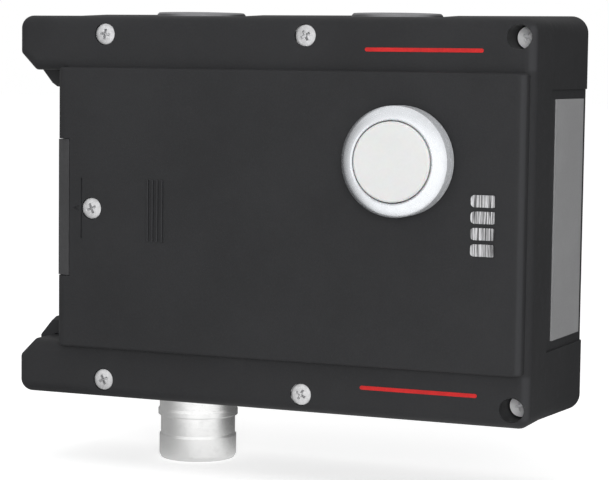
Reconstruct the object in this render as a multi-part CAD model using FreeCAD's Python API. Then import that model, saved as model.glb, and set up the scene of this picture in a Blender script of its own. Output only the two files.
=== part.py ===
import FreeCAD, Part
import math
import os

from FreeCAD import Vector

# Guard locking module for a machine door. The door handle's bolt tongue slides into the mouth on the left,
# between two ears, and a pawl that a solenoid releases holds it there.
# Axes: +X to the right, +Y from the front to the back, +Z up. The origin is the middle of the back face.
# All sizes are in millimetres.

# Moulded body
BODY_WIDTH = 157.2          # front cover, left ear edge to right side
BODY_HEIGHT = 111.2         # front cover, top to bottom
BODY_DEPTH = 50.1           # back face to the screw strips
SEAM_DEPTH = 33.0           # back face to the joint between housing and cover
FLARE = 1.5                 # draft of the rear housing, outwards at its back edge
BACK_CHAMFER = 0.8
WALL = 3.0
BACK_WALL = 3.2
SIDE_CORNER = 3.5
EAR_CORNER = 3.7
LEAD_CORNER = 0.8           # at the ears' lead-ins
SMALLEST_CORNER = 0.5       # where a wall's inside would be sharper
FRONT_FILLET = 3.4
FIT = 0.2                   # gap between a moulded piece and what it is let into

# Ears that flank the tongue's path
EAR_REACH = 14.65           # ear edge to the recessed left side
COVER_EAR = 15.85           # height of one of the cover's ears
COVER_LEAD = 4.9            # its lead-in chamfer
HOUSING_EAR = 20.9          # height of one of the housing's ears
HOUSING_LEAD = 3.8          # its lead-in chamfer along X
HOUSING_LEAD_RISE = 4.6     # and along Z
RAIL_TAPER = 0.95           # slope of the housing's ears in front of the joint
RAIL_RISE = 2.6             # how far the housing's ears stand in front of the joint

# Raised middle panel of the cover
PANEL_RISE = 3.5
PANEL_INSET = 1.5           # cover's right side to the panel's
STRIP_HEIGHT = 14.9         # screw strip, body's edge to the panel
PANEL_EDGE_FILLET = 0.8
PANEL_LEFT_FILLET = 3.0
PANEL_RIGHT_FILLET = 2.6

# Marks and ribs on the panel
RIB_INSET = 32.05           # recessed left side to the ribs' middle
RIB_FIELD_WIDTH = 5.2
RIB_COUNT = 4
RIB_WIDTH = 0.7
RIB_LENGTH = 17.6
RIB_HEIGHT = 0.5
LINE_INSET = 8.55           # recessed left side to the line
LINE_WIDTH = 0.5
LINE_LENGTH = 17.6
LINE_DEPTH = 0.3
ARROW_SIZE = 1.9
ARROW_GAP = 0.8

# Cover screws, M4 with domed cross-recess heads
SCREW_LEFT_INSET = 28.6     # ear edge to the left screws
SCREW_RIGHT_INSET = 4.8     # right side to the right screws
SCREW_MIDDLE_SHIFT = 0.4    # middle screws, right of midway between the others
SCREW_EDGE_INSET = 5.3      # body's top or bottom to the screws
CENTRE_SCREW_INSET = 11.65  # recessed left side to the middle screw
HEAD_RADIUS = 3.05
HEAD_HEIGHT = 2.3
HEAD_DOME = 0.5
HEAD_GAP = 0.15             # round the head in its counterbore
HEAD_SINK = 0.1             # top of the head below the surface
CORNER_RISE = 8.5           # joint to the crowns of the two deep screws beside the right edge
CORNER_GAP = 0.35
SHANK_RADIUS = 1.95
SHANK_CLEARANCE = 0.25
THREAD_FIT = 0.03
BOSS_WALL = 2.2             # plastic round a screw's head or thread
SCREW_ENGAGEMENT = 12.0
HOLE_BOTTOM = 1.0           # free depth under a screw's tip
RECESS_ARM = 1.7
RECESS_WIDTH = 0.7
RECESS_DEPTH = 1.3

# Wall mounting
MOUNT_INSET = 23.6          # body's side to the wall holes
MOUNT_SPACING_Z = 60.0
MOUNT_HOLE_RADIUS = 3.3
MOUNT_PAD_RADIUS = 7.0
MOUNT_PAD_HEIGHT = 2.0

# Gasket between cover and housing
GASKET_WIDTH = 1.4
GASKET_DEPTH = 1.6
GASKET_INSET = 0.8          # outer wall face to the groove

# Cable entries, M20, at the middle of the rear housing's depth
ENTRY_SCREW_DISTANCE = 15.2     # an entry's axis to the cover screw on its left
ENTRY_RADIUS = 10.0
ENTRY_WALL = 2.6            # plastic round the thread
ENTRY_LENGTH = 8.0          # thread, from the body's top or bottom
ENTRY_RISE = 0.3            # flat seat of each entry, beyond the cover's top
SEAT_GAP = 0.2              # round a plug's head on its seat
PLUG_LIP = 3.2              # head beyond the thread
PLUG_HEIGHT = 1.35
PLUG_CHAMFER = 0.5
PLUG_SHANK = 7.5
PLUG_WALL = 2.0
PLUG_SLOT_WIDTH = 2.0
PLUG_SLOT_DEPTH = 1.2
SEAL_HEIGHT = 1.0
SEAL_WIDTH = 1.8

# Round connector under the body
SLEEVE_RADIUS = 11.7
CONNECTOR_THREAD_RADIUS = 9.0
CONNECTOR_WALL = 1.2        # metal round the contact carrier
COLLAR_EXTRA = 0.4
GROOVE_CUT = 0.4
COLLAR_TOP = 6.3            # all four below the body's bottom
COLLAR_BOTTOM = 8.4
GROOVE_BOTTOM = 14.5
CONNECTOR_BOTTOM = 21.5
SLEEVE_BEVEL = 1.1
SLEEVE_WALL = 2.2
INSERT_RECESS = 2.5
INSERT_LENGTH = 20.0
CONNECTOR_NUT_WALL = 1.55   # across the flats, round the thread
CONNECTOR_NUT_HEIGHT = 4.0
PIN_RADIUS = 0.5
PIN_LENGTH = 9.0
PIN_RING_COUNTS = (12, 6, 1)
PIN_RING_RADII = (6.4, 3.4, 0.0)

# Label plate in the right side
LABEL_HEIGHT = 67.2
LABEL_SEAM_MARGIN = 4.9     # joint to the plate
LABEL_BACK = 3.3            # back face to the plate
LABEL_MARGIN = 2.7          # recess beyond the plate's top and bottom
LABEL_RECESS_DEPTH = 0.6
LABEL_THICKNESS = 0.45

# Illuminated pushbutton
BUTTON_INSET = 36.1         # right side to the button's axis
BUTTON_Z = 16.5
BEZEL_RADIUS = 15.1
BEZEL_RIM = 6.3             # height of the bezel's straight side above the panel
BEZEL_HEIGHT = 8.6
BEZEL_CROWN = 0.5           # flat ring round the lens
BEZEL_BULGE = 0.3           # how far the shoulder stands out from a straight cone
BEZEL_LIP = 0.4             # bevel at the bezel's mouth
LENS_RADIUS = 10.9
LENS_HEIGHT = 8.9
LENS_EDGE = 0.45            # bevel round the lens
LENS_GAP = 0.3
LENS_SKIRT = 2.6
LENS_WALL = 1.4
BUTTON_TRAVEL = 3.0
BEZEL_FLOOR = 1.6           # bottom of the bezel's well above the panel
NECK_RADIUS = 11.0
NECK_BORE = 8.4
NECK_LENGTH = 13.0
BUTTON_NUT_RADIUS = 14.5
BUTTON_NUT_HEIGHT = 3.5
BUTTON_NUT_CHAMFER = 0.6
BUTTON_SEAL_HEIGHT = 0.5
BUTTON_SEAL_INSET = 0.3     # bezel's side to the seal
STEM_RADIUS = 4.6
STEM_BORE = 3.3
BUTTON_SPRING_RADIUS = 6.6
BUTTON_SPRING_WIRE = 0.6
BUTTON_SPRING_TURN_COUNT = 4
SPRING_LEDGE = 7.5          # ledge in the neck, behind the panel's front face
LEDGE_THICKNESS = 1.0
STEM_FLANGE = 1.0
SPRING_GAP = 0.1            # at each end of a spring
STEM_FIT = 0.08             # the stem slides in the ledge's bore
BLOCK_WIDTH = 26.0
BLOCK_HEIGHT = 29.0
BLOCK_CLEARANCE = 5.0       # to the main board's terminals behind it
BLOCK_CORNER = 1.5
BLOCK_WELL = 2.0            # beyond the button's travel
BLOCK_TERMINAL_RADIUS = 1.8
BLOCK_TERMINAL_DEPTH = 2.0
LAMP_RADIUS = 2.5
LAMP_DEPTH = 4.0            # panel's front face to the lamp's top
LAMP_BEVEL = 0.8
LAMP_POST = 2.0             # post in the block's well that the lamp stands on

# Indicator lenses
LIGHT_INSET = 12.8          # right side to the lenses' middle
LIGHT_MIDDLE_Z = -0.3
LIGHT_PITCH = 4.42
LIGHT_COUNT = 4
LIGHT_WIDTH = 6.6
LIGHT_HEIGHT = 3.3
LIGHT_PROUD = 0.4
LIGHT_CORNER = 1.1          # at the left end
LIGHT_SQUARE_CORNER = 0.3   # at the right end
LIGHT_FIT = 0.05
LIGHT_RIB_COUNT = 6
LIGHT_RIB_DEPTH = 0.25
LIGHT_FLANGE = 1.0          # its thickness, and how far it stands out at each end
LIGHT_FLANGE_GAP = 0.3      # between neighbours
LIGHT_LENGTH = 7.0
LIGHT_POST_RADIUS = 2.0
LIGHT_POST_TIP = 0.8        # rivet head behind the board
INDICATOR_BOARD_WIDTH = 12.0
INDICATOR_BOARD_HEIGHT = 26.0
BOARD_THICKNESS = 1.6

# Mouth frame, the cast guide for the bolt tongue
CHANNEL_HEIGHT = 28.0
CHANNEL_SPACE = 9.8         # strips' face to the channel's front
CHANNEL_DEPTH = 22.0
FRAME_WALL = 2.6
FRAME_LENGTH = 30.6         # what works behind the frame follows its inner end
NOSE_HEIGHT = 39.6
NOSE_WIDTH = 4.4
NOSE_BEVEL = 2.4
TOOTH_GAP_OUT = 5.0         # slot beyond the pawl's tooth, towards the mouth
TOOTH_GAP_IN = 2.0          # and away from it
TOOTH_SIDE_GAP = 1.0

# Locking pawl and solenoid
PAWL_SPACE = 6.35           # mouth frame's inner end to the pawl's pivot
PAWL_RISE = 11.0            # channel's inner top to the pivot
PAWL_THICKNESS = 5.0
PAWL_HUB_RADIUS = 6.0
PAWL_PIN_RADIUS = 2.5
PAWL_PIN_HEAD = 1.5         # height of its head, and how far it overlaps the pawl
PAWL_FIT = 0.05
PAWL_SIDE_FIT = 0.1         # between the pawl and the pin's head and shoulder
PAWL_ARM = 8.0
PAWL_CORNER = 2.0
TOOTH_BEVEL = (1.6, 1.0)    # along X and Z
TOOTH_X = 20.0              # pivot to the middle of the tooth
TOOTH_WIDTH = 6.0
TOOTH_REACH = 4.5           # tip of the tooth inside the channel
LINK_ARM = 15.0             # pivot to the link pin
LINK_PIN_RADIUS = 1.5
LINK_SLOT_WIDTH = 3.3
LINK_SLOT_LENGTH = 4.8
LINK_SLOT_WALL = 1.6        # beyond the slot's end
LINK_PIN_INSET = 0.8        # plunger's side to the pin's end
PAWL_LIFT_DEG = 15.0
YOKE_WIDTH = 28.0
YOKE_DROP = 17.0            # pawl's pivot to the yoke's top
YOKE_LIFT = 8.0             # plate's bottom to the yoke's
YOKE_SPACE = 8.8            # strips' face to the yoke's front
YOKE_WALL = 3.0
COIL_RADIUS = 10.6
COIL_GAP = 0.4
COIL_FLANGE = 1.2
COIL_FLANGE_RISE = 0.8
PLUNGER_RADIUS = 6.0
PLUNGER_HEAD = 5.0          # above the link pin
PLUNGER_LIFT = 14.0         # yoke's bottom to the plunger's
PLUNGER_SLOT = 5.8
PLUNGER_COLLAR_RADIUS = 8.6
PLUNGER_COLLAR_DROP = 9.4   # link pin to the collar's underside
PLUNGER_COLLAR_HEIGHT = 1.4
PLUNGER_SPRING_RADIUS = 7.5
PLUNGER_SPRING_WIRE = 0.6
PLUNGER_SPRING_TURN_COUNT = 4
CORE_RADIUS = 5.6
CORE_GAP = 0.6              # left under the plunger at the end of its stroke
MECHANISM_PLATE_DROP = 17.0     # pawl's middle plane to the plate's back
MECHANISM_PLATE_THICKNESS = 2.0
MECHANISM_PLATE_CORNER = 2.0
PLATE_LEFT_REACH = 18.0     # from the pawl's pivot
PLATE_RIGHT_REACH = 15.4    # from the plunger's axis
PLATE_TOP_SPACE = 17.6      # to the body's top
PLATE_BOTTOM_SPACE = 13.6   # to the body's bottom
MECHANISM_SCREW_INSET = 4.5
READ_HEAD_LENGTH = 5.2
READ_HEAD_FILLET = 1.2

# Main circuit board, at the right between the wall holes
BOARD_WIDTH = 42.0
BOARD_SIDE_GAP = 2.0        # to the right wall
BOARD_PAD_GAP = 1.5         # to the wall holes' pads
BOARD_STANDOFF = 5.0        # above the back wall
STANDOFF_RADIUS = 3.4
SMALL_SCREW_RADIUS = 1.45
SMALL_SCREW_HEAD = 2.7
SMALL_SCREW_HEAD_HEIGHT = 1.9
SMALL_SCREW_EDGE = 0.55
SMALL_SCREW_LENGTH = 6.0
SMALL_SLOT_WIDTH = 0.6
SMALL_SLOT_DEPTH = 0.8
BOARD_SCREW_INSET = 4.0
TERMINAL_LENGTH = 26.0
TERMINAL_WIDTH = 9.0
TERMINAL_HEIGHT = 10.0
TERMINAL_INSET = 2.0        # board's edge to the terminals
TERMINAL_COUNT = 7
TERMINAL_WELL_DEPTH = 2.0
TERMINAL_WELL_WALL = 0.5

# Springs are swept in short straight runs
SPRING_RUN_COUNT = 14
WIRE_SIDE_COUNT = 8

# Cutting tools reach this far past what they cut
OVER = 1.0

# Places that follow from the sizes above
RIGHT = BODY_WIDTH / 2
LEFT = -BODY_WIDTH / 2
TOP = BODY_HEIGHT / 2
RECESS_X = LEFT + EAR_REACH
STRIP_Y = -BODY_DEPTH
PANEL_Y = STRIP_Y - PANEL_RISE
SEAM_Y = -SEAM_DEPTH
STRIP_INSIDE_Y = STRIP_Y + WALL
PANEL_INSIDE_Y = PANEL_Y + WALL
PANEL_TOP = TOP - STRIP_HEIGHT
RIB_X = RECESS_X + RIB_INSET
LINE_X = RECESS_X + LINE_INSET
CENTRE_SCREW_X = RECESS_X + CENTRE_SCREW_INSET
SCREW_LEFT_X = LEFT + SCREW_LEFT_INSET
SCREW_RIGHT_X = RIGHT - SCREW_RIGHT_INSET
SCREW_MIDDLE_X = (SCREW_LEFT_X + SCREW_RIGHT_X) / 2 + SCREW_MIDDLE_SHIFT
SCREW_Z = TOP - SCREW_EDGE_INSET
CORNER_SINK = BODY_DEPTH - SEAM_DEPTH - CORNER_RISE
COVER_SCREWS = [(x, side * SCREW_Z, CORNER_SINK if x == SCREW_RIGHT_X else HEAD_SINK)
                for side in (1, -1) for x in (SCREW_LEFT_X, SCREW_MIDDLE_X, SCREW_RIGHT_X)]
THREAD_BOSS_RADIUS = SHANK_RADIUS + THREAD_FIT + BOSS_WALL
ENTRY_Y = SEAM_Y / 2
ENTRY_LEFT_X = SCREW_LEFT_X + ENTRY_SCREW_DISTANCE
ENTRY_RIGHT_X = SCREW_MIDDLE_X + ENTRY_SCREW_DISTANCE
ENTRY_SEAT = TOP + ENTRY_RISE
PLUG_RADIUS = ENTRY_RADIUS + PLUG_LIP
ENTRIES = [(ENTRY_LEFT_X, 1, ENTRY_RADIUS), (ENTRY_RIGHT_X, 1, ENTRY_RADIUS),
           (ENTRY_LEFT_X, -1, CONNECTOR_THREAD_RADIUS + THREAD_FIT)]
BUTTON_X = RIGHT - BUTTON_INSET
LIGHT_X = RIGHT - LIGHT_INSET
CHANNEL_FRONT = BODY_DEPTH - CHANNEL_SPACE
CHANNEL_BACK = CHANNEL_FRONT - CHANNEL_DEPTH
MECHANISM_Y = -(CHANNEL_FRONT + CHANNEL_BACK) / 2
PAWL_PIVOT_X = RECESS_X + FRAME_LENGTH + PAWL_SPACE
PAWL_PIVOT_Z = CHANNEL_HEIGHT / 2 + PAWL_RISE
LINK_X = PAWL_PIVOT_X + LINK_ARM
TOOTH_LEFT = PAWL_PIVOT_X - TOOTH_X - TOOTH_WIDTH / 2
PLATE_LEFT = PAWL_PIVOT_X - PLATE_LEFT_REACH
PLATE_RIGHT = LINK_X + PLATE_RIGHT_REACH
PLATE_TOP = TOP - PLATE_TOP_SPACE
PLATE_BOTTOM = PLATE_BOTTOM_SPACE - TOP
PLATE_BACK_Y = MECHANISM_Y + MECHANISM_PLATE_DROP
PLATE_FRONT_Y = PLATE_BACK_Y - MECHANISM_PLATE_THICKNESS
YOKE_TOP_Z = PAWL_PIVOT_Z - YOKE_DROP
YOKE_BOTTOM_Z = PLATE_BOTTOM + YOKE_LIFT
PLUNGER_COLLAR_Z = PAWL_PIVOT_Z - PLUNGER_COLLAR_DROP
PLUNGER_BOTTOM_Z = YOKE_BOTTOM_Z + PLUNGER_LIFT
BOARD_RIGHT = RIGHT - WALL - BOARD_SIDE_GAP
BOARD_LEFT = BOARD_RIGHT - BOARD_WIDTH
BOARD_HALF_HEIGHT = MOUNT_SPACING_Z / 2 - MOUNT_PAD_RADIUS - BOARD_PAD_GAP
BOARD_BACK_Y = -BACK_WALL - BOARD_STANDOFF
BOARD_FRONT_Y = BOARD_BACK_Y - BOARD_THICKNESS
TERMINAL_FRONT_Y = BOARD_FRONT_Y - TERMINAL_HEIGHT


def box(x, y, z):
    """A block between two limits on each axis."""
    return Part.makeBox(x[1] - x[0], y[1] - y[0], z[1] - z[0], Vector(x[0], y[0], z[0]))


def rod(radius, start, end):
    """A round bar from one point to another."""
    start, end = Vector(*start), Vector(*end)
    return Part.makeCylinder(radius, (end - start).Length, start, end - start)


def tube(outer, inner, start, end):
    return rod(outer, start, end).cut(rod(inner, start, end))


def joined(solids):
    """One shape from several that touch or overlap."""
    shape = solids[0].fuse(list(solids[1:])) if len(solids) > 1 else solids[0]
    return shape.removeSplitter()


def corner(before, point, after, radius):
    """Where a corner's arc starts, its middle and where it ends."""
    back, on = (before - point).normalize(), (after - point).normalize()
    half = back.getAngle(on) / 2
    reach = radius / math.tan(half)
    centre = point + (back + on).normalize() * (radius / math.sin(half))
    return point + back * reach, centre + (point - centre).normalize() * radius, point + on * reach


def outline(corners, y):
    """A closed wire in the plane Y = y from (x, z, radius) corners."""
    points = [Vector(x, y, z) for x, z, _ in corners]
    count = len(points)
    arcs = []
    for i, (_, _, radius) in enumerate(corners):
        arcs.append(corner(points[i - 1], points[i], points[(i + 1) % count], radius) if radius else
                    (points[i], None, points[i]))
    edges = []
    for i, (start, middle, end) in enumerate(arcs):
        if middle is not None:
            edges.append(Part.Arc(start, middle, end).toShape())
        following = arcs[(i + 1) % count][0]
        if (following - end).Length > 1e-6:
            edges.append(Part.LineSegment(end, following).toShape())
    return Part.Wire(edges)


def rounded_rectangle(x, z, half_width, half_height, radius):
    """The corners of a rectangle about (x, z)."""
    return [(x - half_width, z - half_height, radius), (x + half_width, z - half_height, radius),
            (x + half_width, z + half_height, radius), (x - half_width, z + half_height, radius)]


def prism(corners, y):
    """An outline carried from y[0] to y[1]."""
    return Part.Face(outline(corners, y[0])).extrude(Vector(0, y[1] - y[0], 0))


def plate_xy(points, z):
    """A straight-sided outline in the XY plane carried from z[0] to z[1]."""
    wire = Part.makePolygon([Vector(x, y, z[0]) for x, y in points + points[:1]])
    return Part.Face(wire).extrude(Vector(0, 0, z[1] - z[0]))


def turned(profile, origin, axis):
    """A solid of revolution: profile is (radius, height) points, heights run along the axis from the origin.

    A point with a third value is the middle of an arc between its neighbours.
    """
    points = [Vector(point[0], 0, point[1]) for point in profile]
    bulges = {index for index, point in enumerate(profile) if len(point) == 3}
    edges = []
    for index, start in enumerate(points):
        if index in bulges:
            continue
        following = (index + 1) % len(points)
        if following in bulges:
            edges.append(Part.Arc(start, points[following], points[(following + 1) % len(points)]).toShape())
        else:
            edges.append(Part.LineSegment(start, points[following]).toShape())
    solid = Part.Face(Part.Wire(edges)).revolve(Vector(0, 0, 0), Vector(0, 0, 1), 360)
    solid.Placement = FreeCAD.Placement(Vector(*origin), FreeCAD.Rotation(Vector(0, 0, 1), Vector(*axis)))
    return solid


def spring(radius, wire_radius, turns, length, origin, axis):
    """A compression spring whose ends lie at the origin and at length along the axis, its wire in short runs."""
    pitch = (length - 2 * wire_radius) / turns
    path = []
    for index in range(turns * SPRING_RUN_COUNT + 1):
        angle = 2 * math.pi * index / SPRING_RUN_COUNT
        rise = pitch * index / SPRING_RUN_COUNT
        path.append(Vector(radius * math.cos(angle), radius * math.sin(angle), rise))
    run = path[1] - path[0]
    outward = Vector(1, 0, 0)
    across = run.cross(outward).normalize()
    ring = []
    for index in range(WIRE_SIDE_COUNT):
        angle = 2 * math.pi * (index + 0.5) / WIRE_SIDE_COUNT
        ring.append(path[0] + outward * (wire_radius * math.cos(angle))
                    + across * (wire_radius * math.sin(angle)))
    solid = Part.makePolygon(path).makePipeShell([Part.makePolygon(ring + ring[:1])], True, False, 1)
    solid.translate(Vector(0, 0, wire_radius))
    solid.Placement = FreeCAD.Placement(
        Vector(*origin), FreeCAD.Rotation(Vector(0, 0, 1), Vector(*axis))).multiply(solid.Placement)
    return solid


def body_corners(ear_height, lead, grow, slot_grow):
    """The body's front outline with its two ears, moved outwards by grow.

    Round the tongue's path it moves by slot_grow. The ears' lead-in chamfers run lead[0] along X and
    lead[1] along Z.
    """
    left, right, top = LEFT - grow, RIGHT + grow, TOP + grow
    recess = RECESS_X - slot_grow
    slot_half = TOP - ear_height
    inner = slot_half - slot_grow
    slant = lead[1] / lead[0]
    stretch = math.hypot(1, slant)
    lead_z = slot_half + lead[1] + grow * slant - slot_grow * stretch
    lead_x = LEFT + lead[0] - slot_grow * (stretch - 1) / slant
    ear = max(EAR_CORNER + grow, SMALLEST_CORNER)
    side = max(SIDE_CORNER + grow, SMALLEST_CORNER)
    upper = [(lead_x, inner, LEAD_CORNER), (left, lead_z, LEAD_CORNER), (left, top, ear), (right, top, side)]
    lower = [(x, -z, radius) for x, z, radius in reversed(upper)]
    return upper + lower + [(recess, -inner, LEAD_CORNER), (recess, inner, LEAD_CORNER)]


def cover_corners(grow=0.0):
    return body_corners(COVER_EAR, (COVER_LEAD, COVER_LEAD), grow, grow)


def housing_corners(grow=0.0, slot_grow=None, taper=0.0):
    slot_grow = grow if slot_grow is None else slot_grow
    return body_corners(HOUSING_EAR - taper, (HOUSING_LEAD, HOUSING_LEAD_RISE), grow, slot_grow)


def front_edges(solid, y):
    """The edges of a solid that lie in the plane Y = y."""
    return [edge for edge in solid.Edges
            if abs(edge.BoundBox.YMin - y) < 1e-4 and abs(edge.BoundBox.YMax - y) < 1e-4]


def mouth_cut(grow):
    """The space of the mouth frame's channel block through the left wall."""
    reach = CHANNEL_HEIGHT / 2 + FRAME_WALL + grow
    return box((RECESS_X - 2 * WALL, RECESS_X + 2 * WALL),
               (-CHANNEL_FRONT - FRAME_WALL - grow, -CHANNEL_BACK + FRAME_WALL + grow), (-reach, reach))


def nose_block(grow, front):
    """The mouth frame's nose in the cover's left edge, grown by grow on its hidden sides."""
    half = NOSE_HEIGHT / 2 + grow
    return box((RECESS_X, RECESS_X + NOSE_WIDTH + grow), (front, -CHANNEL_FRONT - FRAME_WALL), (-half, half))


def head_top(sink):
    """The depth of a cover screw's crown."""
    return STRIP_Y + sink


def head_hole_radius(sink):
    """A counterbore's radius: the two deep ones beside the right edge are wider."""
    return HEAD_RADIUS + (CORNER_GAP if sink == CORNER_SINK else HEAD_GAP)


def boss_hole(x, z, y, radius):
    """A round bar through (x, z) from y[0] to y[1], for a boss, a post or a hole."""
    return rod(radius, (x, y[0], z), (x, y[1], z))


def screw(x, z, top, tip):
    """A domed cross-recess screw that points to the back: top is its head's crown, tip its end."""
    seat = top + HEAD_HEIGHT
    edge = (HEAD_RADIUS, HEAD_HEIGHT - HEAD_DOME)
    ball_radius = (HEAD_RADIUS ** 2 + HEAD_DOME ** 2) / (2 * HEAD_DOME)
    half = HEAD_RADIUS / 2
    crown = (half, HEAD_HEIGHT - ball_radius + math.sqrt(ball_radius ** 2 - half ** 2), "arc")
    head = turned([(0.0, 0.0), (HEAD_RADIUS, 0.0), edge, crown, (0.0, HEAD_HEIGHT)], (x, seat, z), (0, -1, 0))
    cross = []
    for arm_x, arm_z in ((RECESS_ARM, RECESS_WIDTH / 2), (RECESS_WIDTH / 2, RECESS_ARM)):
        cross.append(box((x - arm_x, x + arm_x), (top - 0.1, top + RECESS_DEPTH), (z - arm_z, z + arm_z)))
    shank = rod(SHANK_RADIUS, (x, seat, z), (x, tip, z))
    return joined([head, shank]).cut(joined(cross))


def rear_housing():
    """The moulded rear shell with ears, screw bosses, cable entries and wall holes."""
    sections = [outline(housing_corners(), SEAM_Y),
                outline(housing_corners(FLARE, 0.0), -BACK_CHAMFER),
                outline(housing_corners(FLARE - BACK_CHAMFER, -BACK_CHAMFER), 0.0)]
    shell = Part.makeLoft(sections, True, True)
    rail_sections = [outline(housing_corners(), SEAM_Y),
                     outline(housing_corners(taper=RAIL_TAPER), SEAM_Y - RAIL_RISE)]
    rails = Part.makeLoft(rail_sections, True, True).cut(
        prism(cover_corners(FIT), (SEAM_Y + OVER, SEAM_Y - RAIL_RISE - OVER)))
    shell = shell.cut(prism(housing_corners(-WALL), (SEAM_Y - OVER, -BACK_WALL)))
    inside = prism(housing_corners(-WALL / 2), (SEAM_Y, -BACK_WALL / 2))
    additions = [rails]
    for x, z, _ in COVER_SCREWS:
        additions.append(boss_hole(x, z, (-BACK_WALL / 2, SEAM_Y), THREAD_BOSS_RADIUS).common(inside))
    for x, z in mount_places():
        additions.append(boss_hole(x, z, (-BACK_WALL / 2, -BACK_WALL - MOUNT_PAD_HEIGHT), MOUNT_PAD_RADIUS))
    for x, z in mechanism_screw_places():
        additions.append(boss_hole(x, z, (-BACK_WALL / 2, PLATE_BACK_Y), STANDOFF_RADIUS))
    for x, z in board_screw_places():
        additions.append(boss_hole(x, z, (-BACK_WALL / 2, BOARD_BACK_Y), STANDOFF_RADIUS))
    additions += [entry_boss(x, side, radius) for x, side, radius in ENTRIES]
    shell = joined([shell] + additions)

    cuts = [mouth_cut(FIT)]
    for x, z, _ in COVER_SCREWS:
        bottom = SEAM_Y + SCREW_ENGAGEMENT + HOLE_BOTTOM
        cuts.append(boss_hole(x, z, (SEAM_Y - OVER, bottom), SHANK_RADIUS + THREAD_FIT))
    for x, z in mount_places():
        cuts.append(boss_hole(x, z, (OVER, -BACK_WALL - MOUNT_PAD_HEIGHT - OVER), MOUNT_HOLE_RADIUS))
    for x, z in mechanism_screw_places():
        cuts.append(small_screw_hole(x, z, PLATE_BACK_Y, MECHANISM_PLATE_THICKNESS))
    for x, z in board_screw_places():
        cuts.append(small_screw_hole(x, z, BOARD_BACK_Y, BOARD_THICKNESS))
    cuts += [entry_cut(x, side, radius) for x, side, radius in ENTRIES]
    outer, inner = GASKET_INSET, GASKET_INSET + GASKET_WIDTH
    groove = prism(cover_corners(-outer), (SEAM_Y - OVER, SEAM_Y + GASKET_DEPTH)).cut(
        prism(cover_corners(-inner), (SEAM_Y - 2 * OVER, SEAM_Y + GASKET_DEPTH + OVER)))
    cuts.append(groove)
    recess_height = LABEL_HEIGHT + 2 * LABEL_MARGIN
    cuts.append(label_wedge(LABEL_RECESS_DEPTH, -2 * LABEL_RECESS_DEPTH, (SEAM_Y, OVER), recess_height))
    return shell.cut(joined(cuts))


def mount_places():
    """The wall holes' axes."""
    half = MOUNT_SPACING_Z / 2
    return [(x, z) for x in (LEFT + MOUNT_INSET, RIGHT - MOUNT_INSET) for z in (-half, half)]


def small_screw_hole(x, z, front, clamped):
    """The thread in a standoff whose front is at a depth, for a screw through a clamped thickness."""
    return boss_hole(x, z, (front - OVER, front - clamped + SMALL_SCREW_LENGTH + HOLE_BOTTOM / 2),
                     SMALL_SCREW_RADIUS + THREAD_FIT)


def entry_boss(x, side, radius):
    """The plastic round one entry's thread and under its flat seat."""
    inner = side * (TOP - ENTRY_LENGTH)
    boss = rod(radius + ENTRY_WALL, (x, ENTRY_Y, inner), (x, ENTRY_Y, side * ENTRY_SEAT))
    seat = rod(PLUG_RADIUS, (x, ENTRY_Y, side * (TOP - WALL / 2)), (x, ENTRY_Y, side * ENTRY_SEAT))
    between = box((x - 2 * PLUG_RADIUS, x + 2 * PLUG_RADIUS), (SEAM_Y, -BACK_WALL / 2), (-2 * TOP, 2 * TOP))
    return boss.fuse(seat).common(between)


def entry_cut(x, side, radius):
    """An entry's bore, the counterbore for its seal and the flat seat, which runs out at the back."""
    half = PLUG_RADIUS + SEAT_GAP
    beyond = side * (ENTRY_SEAT + 2 * FLARE)
    z = sorted((side * ENTRY_SEAT, beyond))
    bore = rod(radius, (x, ENTRY_Y, side * (TOP - ENTRY_LENGTH - OVER)), (x, ENTRY_Y, beyond))
    counterbore = rod(radius + SEAL_WIDTH + FIT, (x, ENTRY_Y, side * (ENTRY_SEAT - SEAL_HEIGHT)),
                      (x, ENTRY_Y, beyond))
    seat = rod(half, (x, ENTRY_Y, z[0]), (x, ENTRY_Y, z[1])).fuse(box((x - half, x + half), (ENTRY_Y, OVER), z))
    return joined([bore, counterbore, seat])


def label_wedge(depth, height, y, length):
    """A plate that follows the drafted right side, from depth below its surface to height below it."""
    slope = FLARE / (SEAM_DEPTH - BACK_CHAMFER)

    def surface(at):
        return RIGHT + (at - SEAM_Y) * slope
    points = [(surface(y[0]) - depth, y[0]), (surface(y[1]) - depth, y[1]),
              (surface(y[1]) - height, y[1]), (surface(y[0]) - height, y[0])]
    return plate_xy(points, (-length / 2, length / 2))


def label_plate():
    return label_wedge(LABEL_RECESS_DEPTH, LABEL_RECESS_DEPTH - LABEL_THICKNESS,
                       (SEAM_Y + LABEL_SEAM_MARGIN, -LABEL_BACK), LABEL_HEIGHT)


def cover_gasket():
    """The cord ring that lies in the housing's groove and touches the cover's rim."""
    inset = GASKET_INSET + FIT / 4
    ring = prism(cover_corners(-inset), (SEAM_Y, SEAM_Y + GASKET_DEPTH)).cut(
        prism(cover_corners(-inset - GASKET_WIDTH + FIT / 2), (SEAM_Y - OVER, SEAM_Y + GASKET_DEPTH + OVER)))
    return ring.cut(mouth_cut(2 * FIT))


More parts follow.
